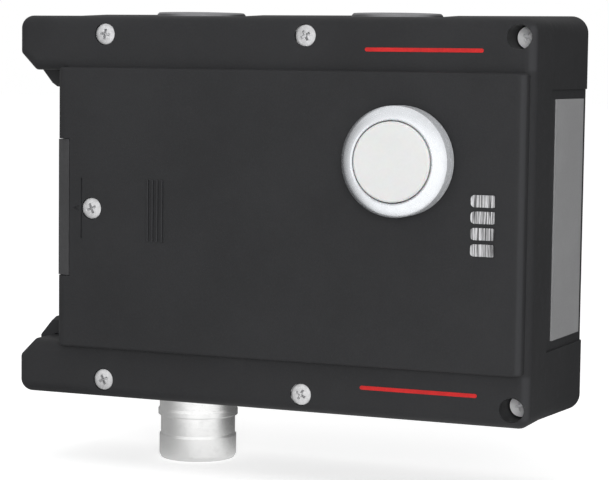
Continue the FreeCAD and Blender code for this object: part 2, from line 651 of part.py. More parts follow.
def front_cover():
    """The moulded front shell: screw strips at the back level, a raised panel between them."""
    base = prism(cover_corners(), (SEAM_Y, STRIP_Y))
    base = base.makeFillet(FRONT_FILLET, front_edges(base, STRIP_Y))
    panel_right = RIGHT - PANEL_INSET
    panel = box((RECESS_X, panel_right), (PANEL_Y, SEAM_Y - OVER), (-PANEL_TOP, PANEL_TOP))
    for x, radius in ((RECESS_X, PANEL_LEFT_FILLET), (panel_right, PANEL_RIGHT_FILLET)):
        side = [edge for edge in front_edges(panel, PANEL_Y)
                if abs(edge.BoundBox.XMin - x) < 1e-4 and abs(edge.BoundBox.XMax - x) < 1e-4]
        panel = panel.makeFillet(radius, side)
    ends = [edge for edge in front_edges(panel, PANEL_Y) if edge.BoundBox.XLength > 1.0]
    panel = panel.makeFillet(PANEL_EDGE_FILLET, ends)
    half_slot = TOP - COVER_EAR
    between_ears = box((LEFT - OVER, RECESS_X), (PANEL_Y - OVER, SEAM_Y), (-half_slot, half_slot))
    shell = joined([base, panel.cut(between_ears)])

    inner_half = PANEL_TOP - WALL
    cavity = prism(cover_corners(-WALL), (SEAM_Y + OVER, STRIP_INSIDE_Y))
    cavity = joined([cavity, box((RECESS_X + WALL, panel_right - WALL), (PANEL_INSIDE_Y, STRIP_INSIDE_Y + OVER),
                                 (-inner_half, inner_half))])
    shell = shell.cut(cavity)

    inside = prism(cover_corners(-WALL / 2), (SEAM_Y, STRIP_Y + WALL / 2))
    additions = [boss_hole(x, z, (SEAM_Y, STRIP_Y + WALL / 2), head_hole_radius(sink) + BOSS_WALL).common(inside)
                 for x, z, sink in COVER_SCREWS]
    additions += ribs()
    additions += indicator_posts()
    shell = joined([shell] + additions)

    cuts = [mouth_cut(FIT), nose_block(FIT, PANEL_Y - OVER)]
    for x, z, sink in COVER_SCREWS:
        top = head_top(sink)
        cuts.append(boss_hole(x, z, (PANEL_Y, top + HEAD_HEIGHT), head_hole_radius(sink)))
        cuts.append(boss_hole(x, z, (top, SEAM_Y + OVER), SHANK_RADIUS + SHANK_CLEARANCE))
    top = PANEL_Y + HEAD_SINK
    cuts.append(boss_hole(CENTRE_SCREW_X, 0.0, (PANEL_Y - OVER, top + HEAD_HEIGHT), HEAD_RADIUS + HEAD_GAP))
    cuts.append(boss_hole(CENTRE_SCREW_X, 0.0, (top, PANEL_INSIDE_Y + OVER), SHANK_RADIUS + SHANK_CLEARANCE))
    cuts.append(boss_hole(BUTTON_X, BUTTON_Z, (PANEL_Y - OVER, PANEL_INSIDE_Y + OVER), NECK_RADIUS + FIT))
    cuts += [prism(light_corners(z, LIGHT_FIT), (PANEL_Y - OVER, PANEL_INSIDE_Y + OVER))
             for z in light_heights()]
    cuts += panel_marks()
    return shell.cut(joined(cuts))


def ribs():
    """Fine upright ribs on the panel, one field left of its middle."""
    pitch = (RIB_FIELD_WIDTH - RIB_WIDTH) / (RIB_COUNT - 1)
    first = RIB_X - RIB_FIELD_WIDTH / 2
    field = []
    for index in range(RIB_COUNT):
        x = first + index * pitch
        rib = box((x, x + RIB_WIDTH), (PANEL_Y - RIB_HEIGHT, PANEL_Y + 0.5), (-RIB_LENGTH / 2, RIB_LENGTH / 2))
        crest = [edge for edge in front_edges(rib, PANEL_Y - RIB_HEIGHT) if edge.BoundBox.ZLength > 1.0]
        field.append(rib.makeFillet(0.4 * RIB_WIDTH, crest))
    return field


def panel_marks():
    """The sunk setting line and arrow beside the middle screw."""
    line = box((LINE_X - LINE_WIDTH / 2, LINE_X + LINE_WIDTH / 2), (PANEL_Y - OVER, PANEL_Y + LINE_DEPTH),
               (-LINE_LENGTH / 2, LINE_LENGTH / 2))
    tip = LINE_X - ARROW_GAP - ARROW_SIZE
    base = LINE_X - ARROW_GAP
    arrow = prism([(tip, 0.0, 0), (base, ARROW_SIZE / 2, 0), (base, -ARROW_SIZE / 2, 0)],
                  (PANEL_Y - OVER, PANEL_Y + LINE_DEPTH))
    return [line, arrow]


def cover_screws():
    """The six screws along the strips, each into its boss in the housing."""
    return Part.makeCompound([screw(x, z, head_top(sink), SEAM_Y + SCREW_ENGAGEMENT)
                              for x, z, sink in COVER_SCREWS])


def centre_screw():
    """The short screw that holds the cover to the mouth frame."""
    return screw(CENTRE_SCREW_X, 0.0, PANEL_Y + HEAD_SINK, -CHANNEL_FRONT - HOLE_BOTTOM)


def mouth_frame():
    """The cast guide: a rectangular channel, a bevelled nose in the cover's edge and a screw boss."""
    reach = CHANNEL_HEIGHT / 2
    end = RECESS_X + FRAME_LENGTH
    block = box((RECESS_X, end), (-CHANNEL_FRONT - FRAME_WALL, -CHANNEL_BACK + FRAME_WALL),
                (-reach - FRAME_WALL, reach + FRAME_WALL))
    nose = nose_block(0.0, PANEL_Y)
    bevel = plate_xy([(RECESS_X - OVER, PANEL_Y - OVER), (RECESS_X + NOSE_WIDTH, PANEL_Y - OVER),
                      (RECESS_X + NOSE_WIDTH, PANEL_Y), (RECESS_X - OVER, PANEL_Y + NOSE_BEVEL)],
                     (-NOSE_HEIGHT, NOSE_HEIGHT))
    boss = boss_hole(CENTRE_SCREW_X, 0.0, (-CHANNEL_FRONT - FRAME_WALL, PANEL_INSIDE_Y), THREAD_BOSS_RADIUS)
    frame = joined([block, nose.cut(bevel), boss])
    channel = box((RECESS_X - OVER, end + OVER), (-CHANNEL_FRONT, -CHANNEL_BACK), (-reach, reach))
    half_width = PAWL_THICKNESS / 2 + TOOTH_SIDE_GAP
    slot = box((TOOTH_LEFT - TOOTH_GAP_OUT, TOOTH_LEFT + TOOTH_WIDTH + TOOTH_GAP_IN),
               (MECHANISM_Y - half_width, MECHANISM_Y + half_width), (reach - OVER, reach + FRAME_WALL + OVER))
    thread = boss_hole(CENTRE_SCREW_X, 0.0, (PANEL_INSIDE_Y - OVER, -CHANNEL_FRONT - HOLE_BOTTOM / 2),
                       SHANK_RADIUS + THREAD_FIT)
    return frame.cut(joined([channel, slot])).cut(thread)


def read_head():
    """The reader that closes the channel's inner end."""
    reach = CHANNEL_HEIGHT / 2
    start = RECESS_X + FRAME_LENGTH
    head = box((start, start + READ_HEAD_LENGTH), (-CHANNEL_FRONT - FRAME_WALL, -CHANNEL_BACK + FRAME_WALL),
               (-reach, reach))
    edges = [edge for edge in head.Edges if edge.BoundBox.XMin > start + READ_HEAD_LENGTH - 1e-4]
    return head.makeFillet(READ_HEAD_FILLET, edges)


def blanking_plug(x):
    """A screwed plug: a low bevelled head, a hollow threaded shank and a key slot."""
    thread = ENTRY_RADIUS - THREAD_FIT
    hollow = ENTRY_RADIUS - PLUG_WALL
    solid = turned([(0.0, PLUG_HEIGHT), (PLUG_RADIUS - PLUG_CHAMFER, PLUG_HEIGHT),
                    (PLUG_RADIUS, PLUG_HEIGHT - PLUG_CHAMFER), (PLUG_RADIUS, 0.0), (thread, 0.0),
                    (thread, -PLUG_SHANK), (hollow, -PLUG_SHANK), (hollow, -PLUG_WALL), (0.0, -PLUG_WALL)],
                   (x, ENTRY_Y, ENTRY_SEAT), (0, 0, 1))
    half_length, half_width = PLUG_RADIUS / 2, PLUG_SLOT_WIDTH / 2
    slot = box((x - half_length, x + half_length), (ENTRY_Y - half_width, ENTRY_Y + half_width),
               (ENTRY_SEAT + PLUG_HEIGHT - PLUG_SLOT_DEPTH, ENTRY_SEAT + PLUG_HEIGHT + OVER))
    return solid.cut(slot)


def entry_seal(x, side, radius):
    """The ring in the counterbore under a plug's head or the connector's flange."""
    return tube(radius + SEAL_WIDTH, radius + THREAD_FIT, (x, ENTRY_Y, side * (ENTRY_SEAT - SEAL_HEIGHT)),
                (x, ENTRY_Y, side * ENTRY_SEAT))


def connector_shell():
    """The turned connector body: collar, undercut groove and open sleeve below, thread above."""
    sleeve, collar = SLEEVE_RADIUS, SLEEVE_RADIUS + COLLAR_EXTRA
    groove, bore = SLEEVE_RADIUS - GROOVE_CUT, SLEEVE_RADIUS - SLEEVE_WALL
    thread, inner = CONNECTOR_THREAD_RADIUS, CONNECTOR_THREAD_RADIUS - CONNECTOR_WALL
    tail = ENTRY_LENGTH + CONNECTOR_NUT_HEIGHT
    profile = [(inner, -tail), (thread, -tail), (thread, ENTRY_RISE),
               (sleeve, ENTRY_RISE), (sleeve, COLLAR_TOP), (collar, COLLAR_TOP + COLLAR_EXTRA),
               (collar, COLLAR_BOTTOM), (groove, COLLAR_BOTTOM), (groove, GROOVE_BOTTOM - GROOVE_CUT),
               (sleeve, GROOVE_BOTTOM),
               (sleeve, CONNECTOR_BOTTOM - SLEEVE_BEVEL), (sleeve - SLEEVE_BEVEL / 2, CONNECTOR_BOTTOM),
               (bore, CONNECTOR_BOTTOM), (bore, GROOVE_BOTTOM), (inner, GROOVE_BOTTOM)]
    return turned(profile, (ENTRY_LEFT_X, ENTRY_Y, -TOP), (0, 0, -1))


def connector_insert():
    """The moulded contact carrier inside the shell."""
    base = -TOP - GROOVE_BOTTOM
    body = rod(CONNECTOR_THREAD_RADIUS - CONNECTOR_WALL, (ENTRY_LEFT_X, ENTRY_Y, base + INSERT_LENGTH),
               (ENTRY_LEFT_X, ENTRY_Y, base))
    holes = [rod(PIN_RADIUS, (x, y, base - OVER), (x, y, base + PIN_LENGTH)) for x, y in pin_places()]
    return body.cut(Part.makeCompound(holes))


def pin_places():
    places = []
    for count, radius in zip(PIN_RING_COUNTS, PIN_RING_RADII):
        for index in range(count):
            angle = 2 * math.pi * index / count
            places.append((ENTRY_LEFT_X + radius * math.cos(angle), ENTRY_Y + radius * math.sin(angle)))
    return places


def connector_pins():
    """The contact pins, each standing out of the insert and stopping short of the sleeve's mouth."""
    base = -TOP - GROOVE_BOTTOM + PIN_LENGTH
    tip = -TOP - CONNECTOR_BOTTOM + INSERT_RECESS
    return Part.makeCompound([rod(PIN_RADIUS, (x, y, base), (x, y, tip)) for x, y in pin_places()])


def connector_nut():
    """The hexagon nut that holds the connector from inside."""
    low = -TOP + ENTRY_LENGTH
    corner_radius = (CONNECTOR_THREAD_RADIUS + CONNECTOR_NUT_WALL) / math.cos(math.pi / 6)
    angles = [math.pi * (side + 0.5) / 3 for side in range(6)]
    corners = [(ENTRY_LEFT_X + corner_radius * math.cos(angle), ENTRY_Y + corner_radius * math.sin(angle))
               for angle in angles]
    nut = plate_xy(corners, (low, low + CONNECTOR_NUT_HEIGHT))
    hole = rod(CONNECTOR_THREAD_RADIUS + THREAD_FIT, (ENTRY_LEFT_X, ENTRY_Y, low - OVER),
               (ENTRY_LEFT_X, ENTRY_Y, low + CONNECTOR_NUT_HEIGHT + OVER))
    return nut.cut(hole)


def at_button(profile):
    """A solid turned about the button's axis: heights run outwards from the panel's front face."""
    return turned(profile, (BUTTON_X, PANEL_Y, BUTTON_Z), (0, -1, 0))


def button_bezel():
    """The silver ring with its convex shoulder and the threaded neck through the panel."""
    well = LENS_RADIUS + LENS_GAP
    ledge_bore = STEM_RADIUS + STEM_FIT
    crown = well + BEZEL_CROWN
    middle = (crown + BEZEL_RADIUS) / 2 + BEZEL_BULGE
    shoulder = [(BEZEL_RADIUS, BEZEL_RIM), (middle, (BEZEL_RIM + BEZEL_HEIGHT) / 2 + BEZEL_BULGE, "arc"),
                (crown, BEZEL_HEIGHT)]
    profile = [(NECK_BORE, BEZEL_FLOOR), (NECK_BORE, -SPRING_LEDGE), (ledge_bore, -SPRING_LEDGE),
               (ledge_bore, -SPRING_LEDGE - LEDGE_THICKNESS), (NECK_BORE, -SPRING_LEDGE - LEDGE_THICKNESS),
               (NECK_BORE, -NECK_LENGTH), (NECK_RADIUS, -NECK_LENGTH), (NECK_RADIUS, BUTTON_SEAL_HEIGHT),
               (BEZEL_RADIUS, BUTTON_SEAL_HEIGHT)]
    return at_button(profile + shoulder + [(well, BEZEL_HEIGHT - BEZEL_LIP), (well, BEZEL_FLOOR)])


def button_seal():
    """The flat ring between the bezel and the panel."""
    inner, outer = NECK_RADIUS + FIT, BEZEL_RADIUS - BUTTON_SEAL_INSET
    return at_button([(inner, 0.0), (outer, 0.0), (outer, BUTTON_SEAL_HEIGHT), (inner, BUTTON_SEAL_HEIGHT)])


def button_lens():
    """The white cap: a flat disc with a fine edge step and a skirt."""
    inner = LENS_RADIUS - LENS_WALL
    top = LENS_HEIGHT
    return at_button([(0.0, top), (LENS_RADIUS - LENS_EDGE, top), (LENS_RADIUS, top - LENS_EDGE),
                      (LENS_RADIUS, top - LENS_SKIRT),
                      (inner, top - LENS_SKIRT), (inner, top - LENS_WALL), (0.0, top - LENS_WALL)])


def button_plunger():
    """The hollow stem that carries the lens and presses the contact block."""
    top = LENS_HEIGHT - LENS_WALL
    foot = LENS_GAP - NECK_LENGTH
    flange = BUTTON_SPRING_RADIUS + BUTTON_SPRING_WIRE
    return at_button([(STEM_BORE, top), (flange, top), (flange, top - STEM_FLANGE),
                      (STEM_RADIUS, top - STEM_FLANGE), (STEM_RADIUS, foot), (STEM_BORE, foot)])


def button_spring():
    """The return spring between the neck's ledge and the plunger's flange."""
    length = LENS_HEIGHT - LENS_WALL - STEM_FLANGE + SPRING_LEDGE - 2 * SPRING_GAP
    return spring(BUTTON_SPRING_RADIUS, BUTTON_SPRING_WIRE, BUTTON_SPRING_TURN_COUNT, length,
                  (BUTTON_X, PANEL_Y + SPRING_LEDGE - SPRING_GAP, BUTTON_Z), (0, -1, 0))


def button_nut():
    """The round nut that clamps the bezel from inside the cover."""
    thread, back = NECK_RADIUS + THREAD_FIT, -WALL - BUTTON_NUT_HEIGHT
    return at_button([(thread, -WALL), (thread, back), (BUTTON_NUT_RADIUS - BUTTON_NUT_CHAMFER, back),
                      (BUTTON_NUT_RADIUS, back + BUTTON_NUT_CHAMFER), (BUTTON_NUT_RADIUS, -WALL)])


def contact_block():
    """The switch block clipped behind the neck, with a well for the plunger."""
    front = PANEL_Y + NECK_LENGTH
    back = TERMINAL_FRONT_Y - BLOCK_CLEARANCE
    floor = front + BUTTON_TRAVEL + BLOCK_WELL
    half_width, half_height = BLOCK_WIDTH / 2, BLOCK_HEIGHT / 2
    body = prism(rounded_rectangle(BUTTON_X, BUTTON_Z, half_width, half_height, BLOCK_CORNER), (front, back))
    well = boss_hole(BUTTON_X, BUTTON_Z, (front - OVER, floor), STEM_RADIUS + LENS_GAP)
    centre = boss_hole(BUTTON_X, BUTTON_Z, (floor, floor - LAMP_POST), STEM_BORE - LENS_GAP)
    ends = (back - BLOCK_TERMINAL_DEPTH, back + OVER)
    terminals = [boss_hole(BUTTON_X + x, BUTTON_Z + z, ends, BLOCK_TERMINAL_RADIUS)
                 for x in (-half_width / 2, half_width / 2) for z in (-half_height / 2, half_height / 2)]
    return body.cut(well).fuse(centre).cut(joined(terminals)).removeSplitter()


def button_lamp():
    """The lamp on the contact block's post, inside the hollow plunger."""
    foot = -NECK_LENGTH - BUTTON_TRAVEL - BLOCK_WELL + LAMP_POST
    top = -LAMP_DEPTH
    return at_button([(0.0, foot), (LAMP_RADIUS, foot), (LAMP_RADIUS, top - LAMP_BEVEL),
                      (LAMP_RADIUS - LAMP_BEVEL, top), (0.0, top)])


def light_heights():
    """The lenses' middle heights, from the top down."""
    middle = (LIGHT_COUNT - 1) / 2
    return [LIGHT_MIDDLE_Z + (middle - index) * LIGHT_PITCH for index in range(LIGHT_COUNT)]


def light_corners(z, grow=0.0):
    """A lens outline, rounded at its left end."""
    left, right = LIGHT_X - LIGHT_WIDTH / 2 - grow, LIGHT_X + LIGHT_WIDTH / 2 + grow
    low, high = z - LIGHT_HEIGHT / 2 - grow, z + LIGHT_HEIGHT / 2 + grow
    return [(left, low, LIGHT_CORNER), (left, high, LIGHT_CORNER), (right, high, LIGHT_SQUARE_CORNER),
            (right, low, LIGHT_SQUARE_CORNER)]


def light_guide(z):
    """A clear rod with an upright-ribbed face, a flange behind the panel and a foot on the board."""
    face = PANEL_Y - LIGHT_PROUD
    body = prism(light_corners(z), (face, PANEL_INSIDE_Y + LIGHT_FLANGE))
    flange_width = LIGHT_WIDTH / 2 + LIGHT_FLANGE
    flange_half = (LIGHT_PITCH - LIGHT_FLANGE_GAP) / 2
    flange = box((LIGHT_X - flange_width, LIGHT_X + flange_width),
                 (PANEL_INSIDE_Y, PANEL_INSIDE_Y + LIGHT_FLANGE), (z - flange_half, z + flange_half))
    foot = boss_hole(LIGHT_X, z, (PANEL_INSIDE_Y, PANEL_INSIDE_Y + LIGHT_LENGTH), LIGHT_HEIGHT / 2)
    pitch = LIGHT_WIDTH / LIGHT_RIB_COUNT
    grooves = []
    for index in range(1, LIGHT_RIB_COUNT):
        x = LIGHT_X - LIGHT_WIDTH / 2 + index * pitch
        half = pitch / 4
        grooves.append(plate_xy([(x - half, face - 0.01), (x + half, face - 0.01), (x, face + LIGHT_RIB_DEPTH)],
                                (z - LIGHT_HEIGHT, z + LIGHT_HEIGHT)))
    return joined([body, flange, foot]).cut(Part.makeCompound(grooves))


def indicator_board():
    """The small board whose lamps shine into the light guides."""
    front = PANEL_INSIDE_Y + LIGHT_LENGTH
    half_width, half_height = INDICATOR_BOARD_WIDTH / 2, INDICATOR_BOARD_HEIGHT / 2
    board = box((LIGHT_X - half_width, LIGHT_X + half_width), (front, front + BOARD_THICKNESS),
                (LIGHT_MIDDLE_Z - half_height, LIGHT_MIDDLE_Z + half_height))
    holes = [boss_hole(LIGHT_X, z, (front - OVER, front + BOARD_THICKNESS + OVER), SMALL_SCREW_RADIUS)
             for z in indicator_post_heights()]
    return board.cut(joined(holes))


def indicator_post_heights():
    """The heights of the two posts at the indicator board's ends."""
    reach = INDICATOR_BOARD_HEIGHT / 2 - LIGHT_POST_RADIUS
    return LIGHT_MIDDLE_Z + reach, LIGHT_MIDDLE_Z - reach


def indicator_posts():
    """Posts on the cover's inner face that the indicator board is riveted to."""
    front = PANEL_INSIDE_Y + LIGHT_LENGTH
    posts = []
    for z in indicator_post_heights():
        posts.append(boss_hole(LIGHT_X, z, (PANEL_INSIDE_Y - WALL / 2, front), LIGHT_POST_RADIUS))
        posts.append(boss_hole(LIGHT_X, z, (front - OVER, front + BOARD_THICKNESS + LIGHT_POST_TIP),
                               SMALL_SCREW_RADIUS - THREAD_FIT))
    return posts


def mechanism_screw_places():
    inset = MECHANISM_SCREW_INSET
    return [(x, z) for x in (PLATE_LEFT + inset, PLATE_RIGHT - inset)
            for z in (PLATE_BOTTOM + inset, PLATE_TOP - inset)]


def board_screw_places():
    inset = BOARD_SCREW_INSET
    return [(x, z) for x in (BOARD_LEFT + inset, BOARD_RIGHT - inset)
            for z in (-BOARD_HALF_HEIGHT + inset, BOARD_HALF_HEIGHT - inset)]


def small_screw(x, z, seat):
    """A pan-head screw that points to the back from its seat."""
    radius, head = SMALL_SCREW_RADIUS, SMALL_SCREW_HEAD
    height, edge = SMALL_SCREW_HEAD_HEIGHT, SMALL_SCREW_EDGE
    body = turned([(0.0, height), (head - edge, height), (head, height - edge), (head, 0.0), (radius, 0.0),
                   (radius, -SMALL_SCREW_LENGTH), (0.0, -SMALL_SCREW_LENGTH)], (x, seat, z), (0, -1, 0))
    slot = box((x - head + edge, x + head - edge), (seat - height - OVER, seat - height + SMALL_SLOT_DEPTH),
               (z - SMALL_SLOT_WIDTH / 2, z + SMALL_SLOT_WIDTH / 2))
    return body.cut(slot)


def mechanism_plate():
    """The steel plate that carries the pawl's pin and the solenoid."""
    back, front = PLATE_BACK_Y, PLATE_FRONT_Y
    half_width, half_height = (PLATE_RIGHT - PLATE_LEFT) / 2, (PLATE_TOP - PLATE_BOTTOM) / 2
    plate = prism(rounded_rectangle(PLATE_LEFT + half_width, PLATE_BOTTOM + half_height, half_width, half_height,
                                    MECHANISM_PLATE_CORNER), (back, front))
    holes = [boss_hole(x, z, (back + OVER, front - OVER), SMALL_SCREW_RADIUS + SHANK_CLEARANCE)
             for x, z in mechanism_screw_places()]
    holes.append(boss_hole(PAWL_PIVOT_X, PAWL_PIVOT_Z, (back + OVER, front - OVER), PAWL_PIN_RADIUS))
    return plate.cut(joined(holes))


def plate_screws():
    return Part.makeCompound([small_screw(x, z, PLATE_FRONT_Y) for x, z in mechanism_screw_places()])


def pawl_pin():
    """The pivot pin, riveted in the plate, with a shoulder behind the pawl and a head in front of it."""
    behind = MECHANISM_Y + PAWL_THICKNESS / 2 + PAWL_SIDE_FIT
    before = MECHANISM_Y - PAWL_THICKNESS / 2 - PAWL_SIDE_FIT
    head_radius = PAWL_PIN_RADIUS + PAWL_PIN_HEAD
    pin = boss_hole(PAWL_PIVOT_X, PAWL_PIVOT_Z, (PLATE_BACK_Y, before), PAWL_PIN_RADIUS)
    head = boss_hole(PAWL_PIVOT_X, PAWL_PIVOT_Z, (before, before - PAWL_PIN_HEAD), head_radius)
    shoulder = boss_hole(PAWL_PIVOT_X, PAWL_PIVOT_Z, (PLATE_FRONT_Y, behind), head_radius)
    return joined([pin, head, shoulder])


def locking_pawl():
    """The two-armed pawl: a tooth over the channel on the left, a slotted arm in the plunger on the right."""
    faces = (MECHANISM_Y - PAWL_THICKNESS / 2, MECHANISM_Y + PAWL_THICKNESS / 2)
    low, high = PAWL_PIVOT_Z - PAWL_ARM / 2, PAWL_PIVOT_Z + PAWL_ARM / 2
    tooth_tip = CHANNEL_HEIGHT / 2 - TOOTH_REACH
    arm_end = LINK_X + LINK_SLOT_LENGTH / 2 + LINK_SLOT_WALL
    arm = prism([(TOOTH_LEFT, low, 0), (TOOTH_LEFT, high, PAWL_CORNER), (arm_end, high, PAWL_CORNER),
                 (arm_end, low, PAWL_CORNER)], faces)
    tooth = prism([(TOOTH_LEFT, low, 0), (TOOTH_LEFT, tooth_tip + TOOTH_BEVEL[1], 0),
                   (TOOTH_LEFT + TOOTH_BEVEL[0], tooth_tip, 0), (TOOTH_LEFT + TOOTH_WIDTH, tooth_tip, 0),
                   (TOOTH_LEFT + TOOTH_WIDTH, low, 0)], faces)
    hub = boss_hole(PAWL_PIVOT_X, PAWL_PIVOT_Z, faces, PAWL_HUB_RADIUS)
    bore = boss_hole(PAWL_PIVOT_X, PAWL_PIVOT_Z, (faces[0] - OVER, faces[1] + OVER), PAWL_PIN_RADIUS + PAWL_FIT)
    half = LINK_SLOT_WIDTH / 2
    slot = prism(rounded_rectangle(LINK_X, PAWL_PIVOT_Z, LINK_SLOT_LENGTH / 2, half, 0.95 * half),
                 (faces[0] - OVER, faces[1] + OVER))
    return joined([arm, tooth, hub]).cut(bore).cut(slot)


def link_pin():
    """The cross pin through the plunger's fork and the pawl's slot."""
    reach = PLUNGER_RADIUS - LINK_PIN_INSET
    return boss_hole(LINK_X, PAWL_PIVOT_Z, (MECHANISM_Y - reach, MECHANISM_Y + reach), LINK_PIN_RADIUS)


def solenoid_plunger():
    """The iron plunger with its spring collar and the fork that the pawl's arm sits in."""
    head = PAWL_PIVOT_Z + PLUNGER_HEAD
    body = rod(PLUNGER_RADIUS, (LINK_X, MECHANISM_Y, PLUNGER_BOTTOM_Z), (LINK_X, MECHANISM_Y, head))
    collar = rod(PLUNGER_COLLAR_RADIUS, (LINK_X, MECHANISM_Y, PLUNGER_COLLAR_Z),
                 (LINK_X, MECHANISM_Y, PLUNGER_COLLAR_Z + PLUNGER_COLLAR_HEIGHT))
    floor = PLUNGER_COLLAR_Z + PLUNGER_COLLAR_HEIGHT
    fork = box((LINK_X - 2 * PLUNGER_RADIUS, LINK_X + 2 * PLUNGER_RADIUS),
               (MECHANISM_Y - PLUNGER_SLOT / 2, MECHANISM_Y + PLUNGER_SLOT / 2), (floor, head + OVER))
    hole = boss_hole(LINK_X, PAWL_PIVOT_Z, (MECHANISM_Y - 2 * PLUNGER_RADIUS, MECHANISM_Y + 2 * PLUNGER_RADIUS),
                     LINK_PIN_RADIUS)
    return joined([body, collar]).cut(fork).cut(hole)


def plunger_spring():
    """The spring that pushes the plunger up and so keeps the pawl locked."""
    length = PLUNGER_COLLAR_Z - YOKE_TOP_Z - 2 * SPRING_GAP
    return spring(PLUNGER_SPRING_RADIUS, PLUNGER_SPRING_WIRE, PLUNGER_SPRING_TURN_COUNT, length,
                  (LINK_X, MECHANISM_Y, YOKE_TOP_Z + SPRING_GAP), (0, 0, 1))


def solenoid_yoke():
    """The steel frame round the coil, with the fixed core at its bottom."""
    half = YOKE_WIDTH / 2
    y = (YOKE_SPACE - BODY_DEPTH, PLATE_FRONT_Y)
    frame = box((LINK_X - half, LINK_X + half), y, (YOKE_BOTTOM_Z, YOKE_TOP_Z))
    window = box((LINK_X - half + YOKE_WALL, LINK_X + half - YOKE_WALL), (y[0] - OVER, y[1] + OVER),
                 (YOKE_BOTTOM_Z + YOKE_WALL, YOKE_TOP_Z - YOKE_WALL))
    guide = rod(PLUNGER_RADIUS + PAWL_FIT, (LINK_X, MECHANISM_Y, YOKE_TOP_Z - YOKE_WALL - OVER),
                (LINK_X, MECHANISM_Y, YOKE_TOP_Z + OVER))
    stroke = LINK_ARM * math.sin(math.radians(PAWL_LIFT_DEG))
    core = rod(CORE_RADIUS, (LINK_X, MECHANISM_Y, YOKE_BOTTOM_Z + YOKE_WALL / 2),
               (LINK_X, MECHANISM_Y, PLUNGER_BOTTOM_Z - stroke - CORE_GAP))
    return joined([frame.cut(window).cut(guide), core])


def solenoid_coil():
    """The wound bobbin inside the yoke."""
    bottom = YOKE_BOTTOM_Z + YOKE_WALL
    height = YOKE_TOP_Z - YOKE_WALL - bottom
    bore, wound = PLUNGER_RADIUS + COIL_GAP, COIL_RADIUS - COIL_FLANGE_RISE
    return turned([(bore, 0.0), (COIL_RADIUS, 0.0), (COIL_RADIUS, COIL_FLANGE), (wound, COIL_FLANGE),
                   (wound, height - COIL_FLANGE), (COIL_RADIUS, height - COIL_FLANGE), (COIL_RADIUS, height),
                   (bore, height)], (LINK_X, MECHANISM_Y, bottom), (0, 0, 1))


def main_board():
    """The board that carries the terminals."""
    board = box((BOARD_LEFT, BOARD_RIGHT), (BOARD_FRONT_Y, BOARD_BACK_Y),
                (-BOARD_HALF_HEIGHT, BOARD_HALF_HEIGHT))
    holes = [boss_hole(x, z, (BOARD_BACK_Y + OVER, BOARD_FRONT_Y - OVER), SMALL_SCREW_RADIUS + SHANK_CLEARANCE)
             for x, z in board_screw_places()]
    return board.cut(joined(holes))


def board_screws():
    return Part.makeCompound([small_screw(x, z, BOARD_FRONT_Y) for x, z in board_screw_places()])


def terminal_block(side):
    """A row of screw terminals along the main board's top or bottom."""
    left = (BOARD_LEFT + BOARD_RIGHT - TERMINAL_LENGTH) / 2
    middle = side * (BOARD_HALF_HEIGHT - TERMINAL_INSET - TERMINAL_WIDTH / 2)
    block = box((left, left + TERMINAL_LENGTH), (TERMINAL_FRONT_Y, BOARD_FRONT_Y),
                (middle - TERMINAL_WIDTH / 2, middle + TERMINAL_WIDTH / 2))
    pitch = TERMINAL_LENGTH / TERMINAL_COUNT
    ends = (TERMINAL_FRONT_Y - OVER, TERMINAL_FRONT_Y + TERMINAL_WELL_DEPTH)
    wells = [boss_hole(left + (index + 0.5) * pitch, middle, ends, pitch / 2 - TERMINAL_WELL_WALL)
             for index in range(TERMINAL_COUNT)]
    return block.cut(joined(wells))


def pieces():
    """Every piece by its name."""
    made = {
        "rear_housing": rear_housing(),
        "front_cover": front_cover(),
        "cover_gasket": cover_gasket(),
        "cover_screws": cover_screws(),
        "centre_screw": centre_screw(),
        "label_plate": label_plate(),
        "mouth_frame": mouth_frame(),
        "read_head": read_head(),
        "blanking_plug_left": blanking_plug(ENTRY_LEFT_X),
        "blanking_plug_right": blanking_plug(ENTRY_RIGHT_X),
        "plug_seal_left": entry_seal(*ENTRIES[0]),
        "plug_seal_right": entry_seal(*ENTRIES[1]),
        "connector_shell": connector_shell(),
        "connector_insert": connector_insert(),
        "connector_pins": connector_pins(),
        "connector_nut": connector_nut(),
        "connector_seal": entry_seal(*ENTRIES[2]),
        "button_bezel": button_bezel(),
        "button_seal": button_seal(),
        "button_lens": button_lens(),
        "button_plunger": button_plunger(),
        "button_spring": button_spring(),
        "button_nut": button_nut(),
        "contact_block": contact_block(),
        "button_lamp": button_lamp(),
        "indicator_board": indicator_board(),
        "mechanism_plate": mechanism_plate(),
        "plate_screws": plate_screws(),
        "pawl_pin": pawl_pin(),
        "locking_pawl": locking_pawl(),
        "link_pin": link_pin(),
        "solenoid_plunger": solenoid_plunger(),
        "plunger_spring": plunger_spring(),
        "solenoid_yoke": solenoid_yoke(),
        "solenoid_coil": solenoid_coil(),
        "main_board": main_board(),
        "board_screws": board_screws(),
        "terminal_block_upper": terminal_block(1),
        "terminal_block_lower": terminal_block(-1),
    }
    for index, z in enumerate(light_heights()):
        made[f"light_guide_{index + 1}"] = light_guide(z)
    return made


os.makedirs("parts", exist_ok=True)
for name, shape in pieces().items():
    shape.exportStep(f"parts/{name}.step")
    print(name, "solids", len(shape.Solids), "valid", shape.isValid(), "volume", round(shape.Volume, 1))
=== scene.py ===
"""Looks of the guard locking module: finishes, detailed screws, springs and trim, and a studio."""

import math

import bmesh
import bpy
from bpy.props import FloatProperty, FloatVectorProperty, IntProperty, PointerProperty
from mathutils import Matrix, Vector


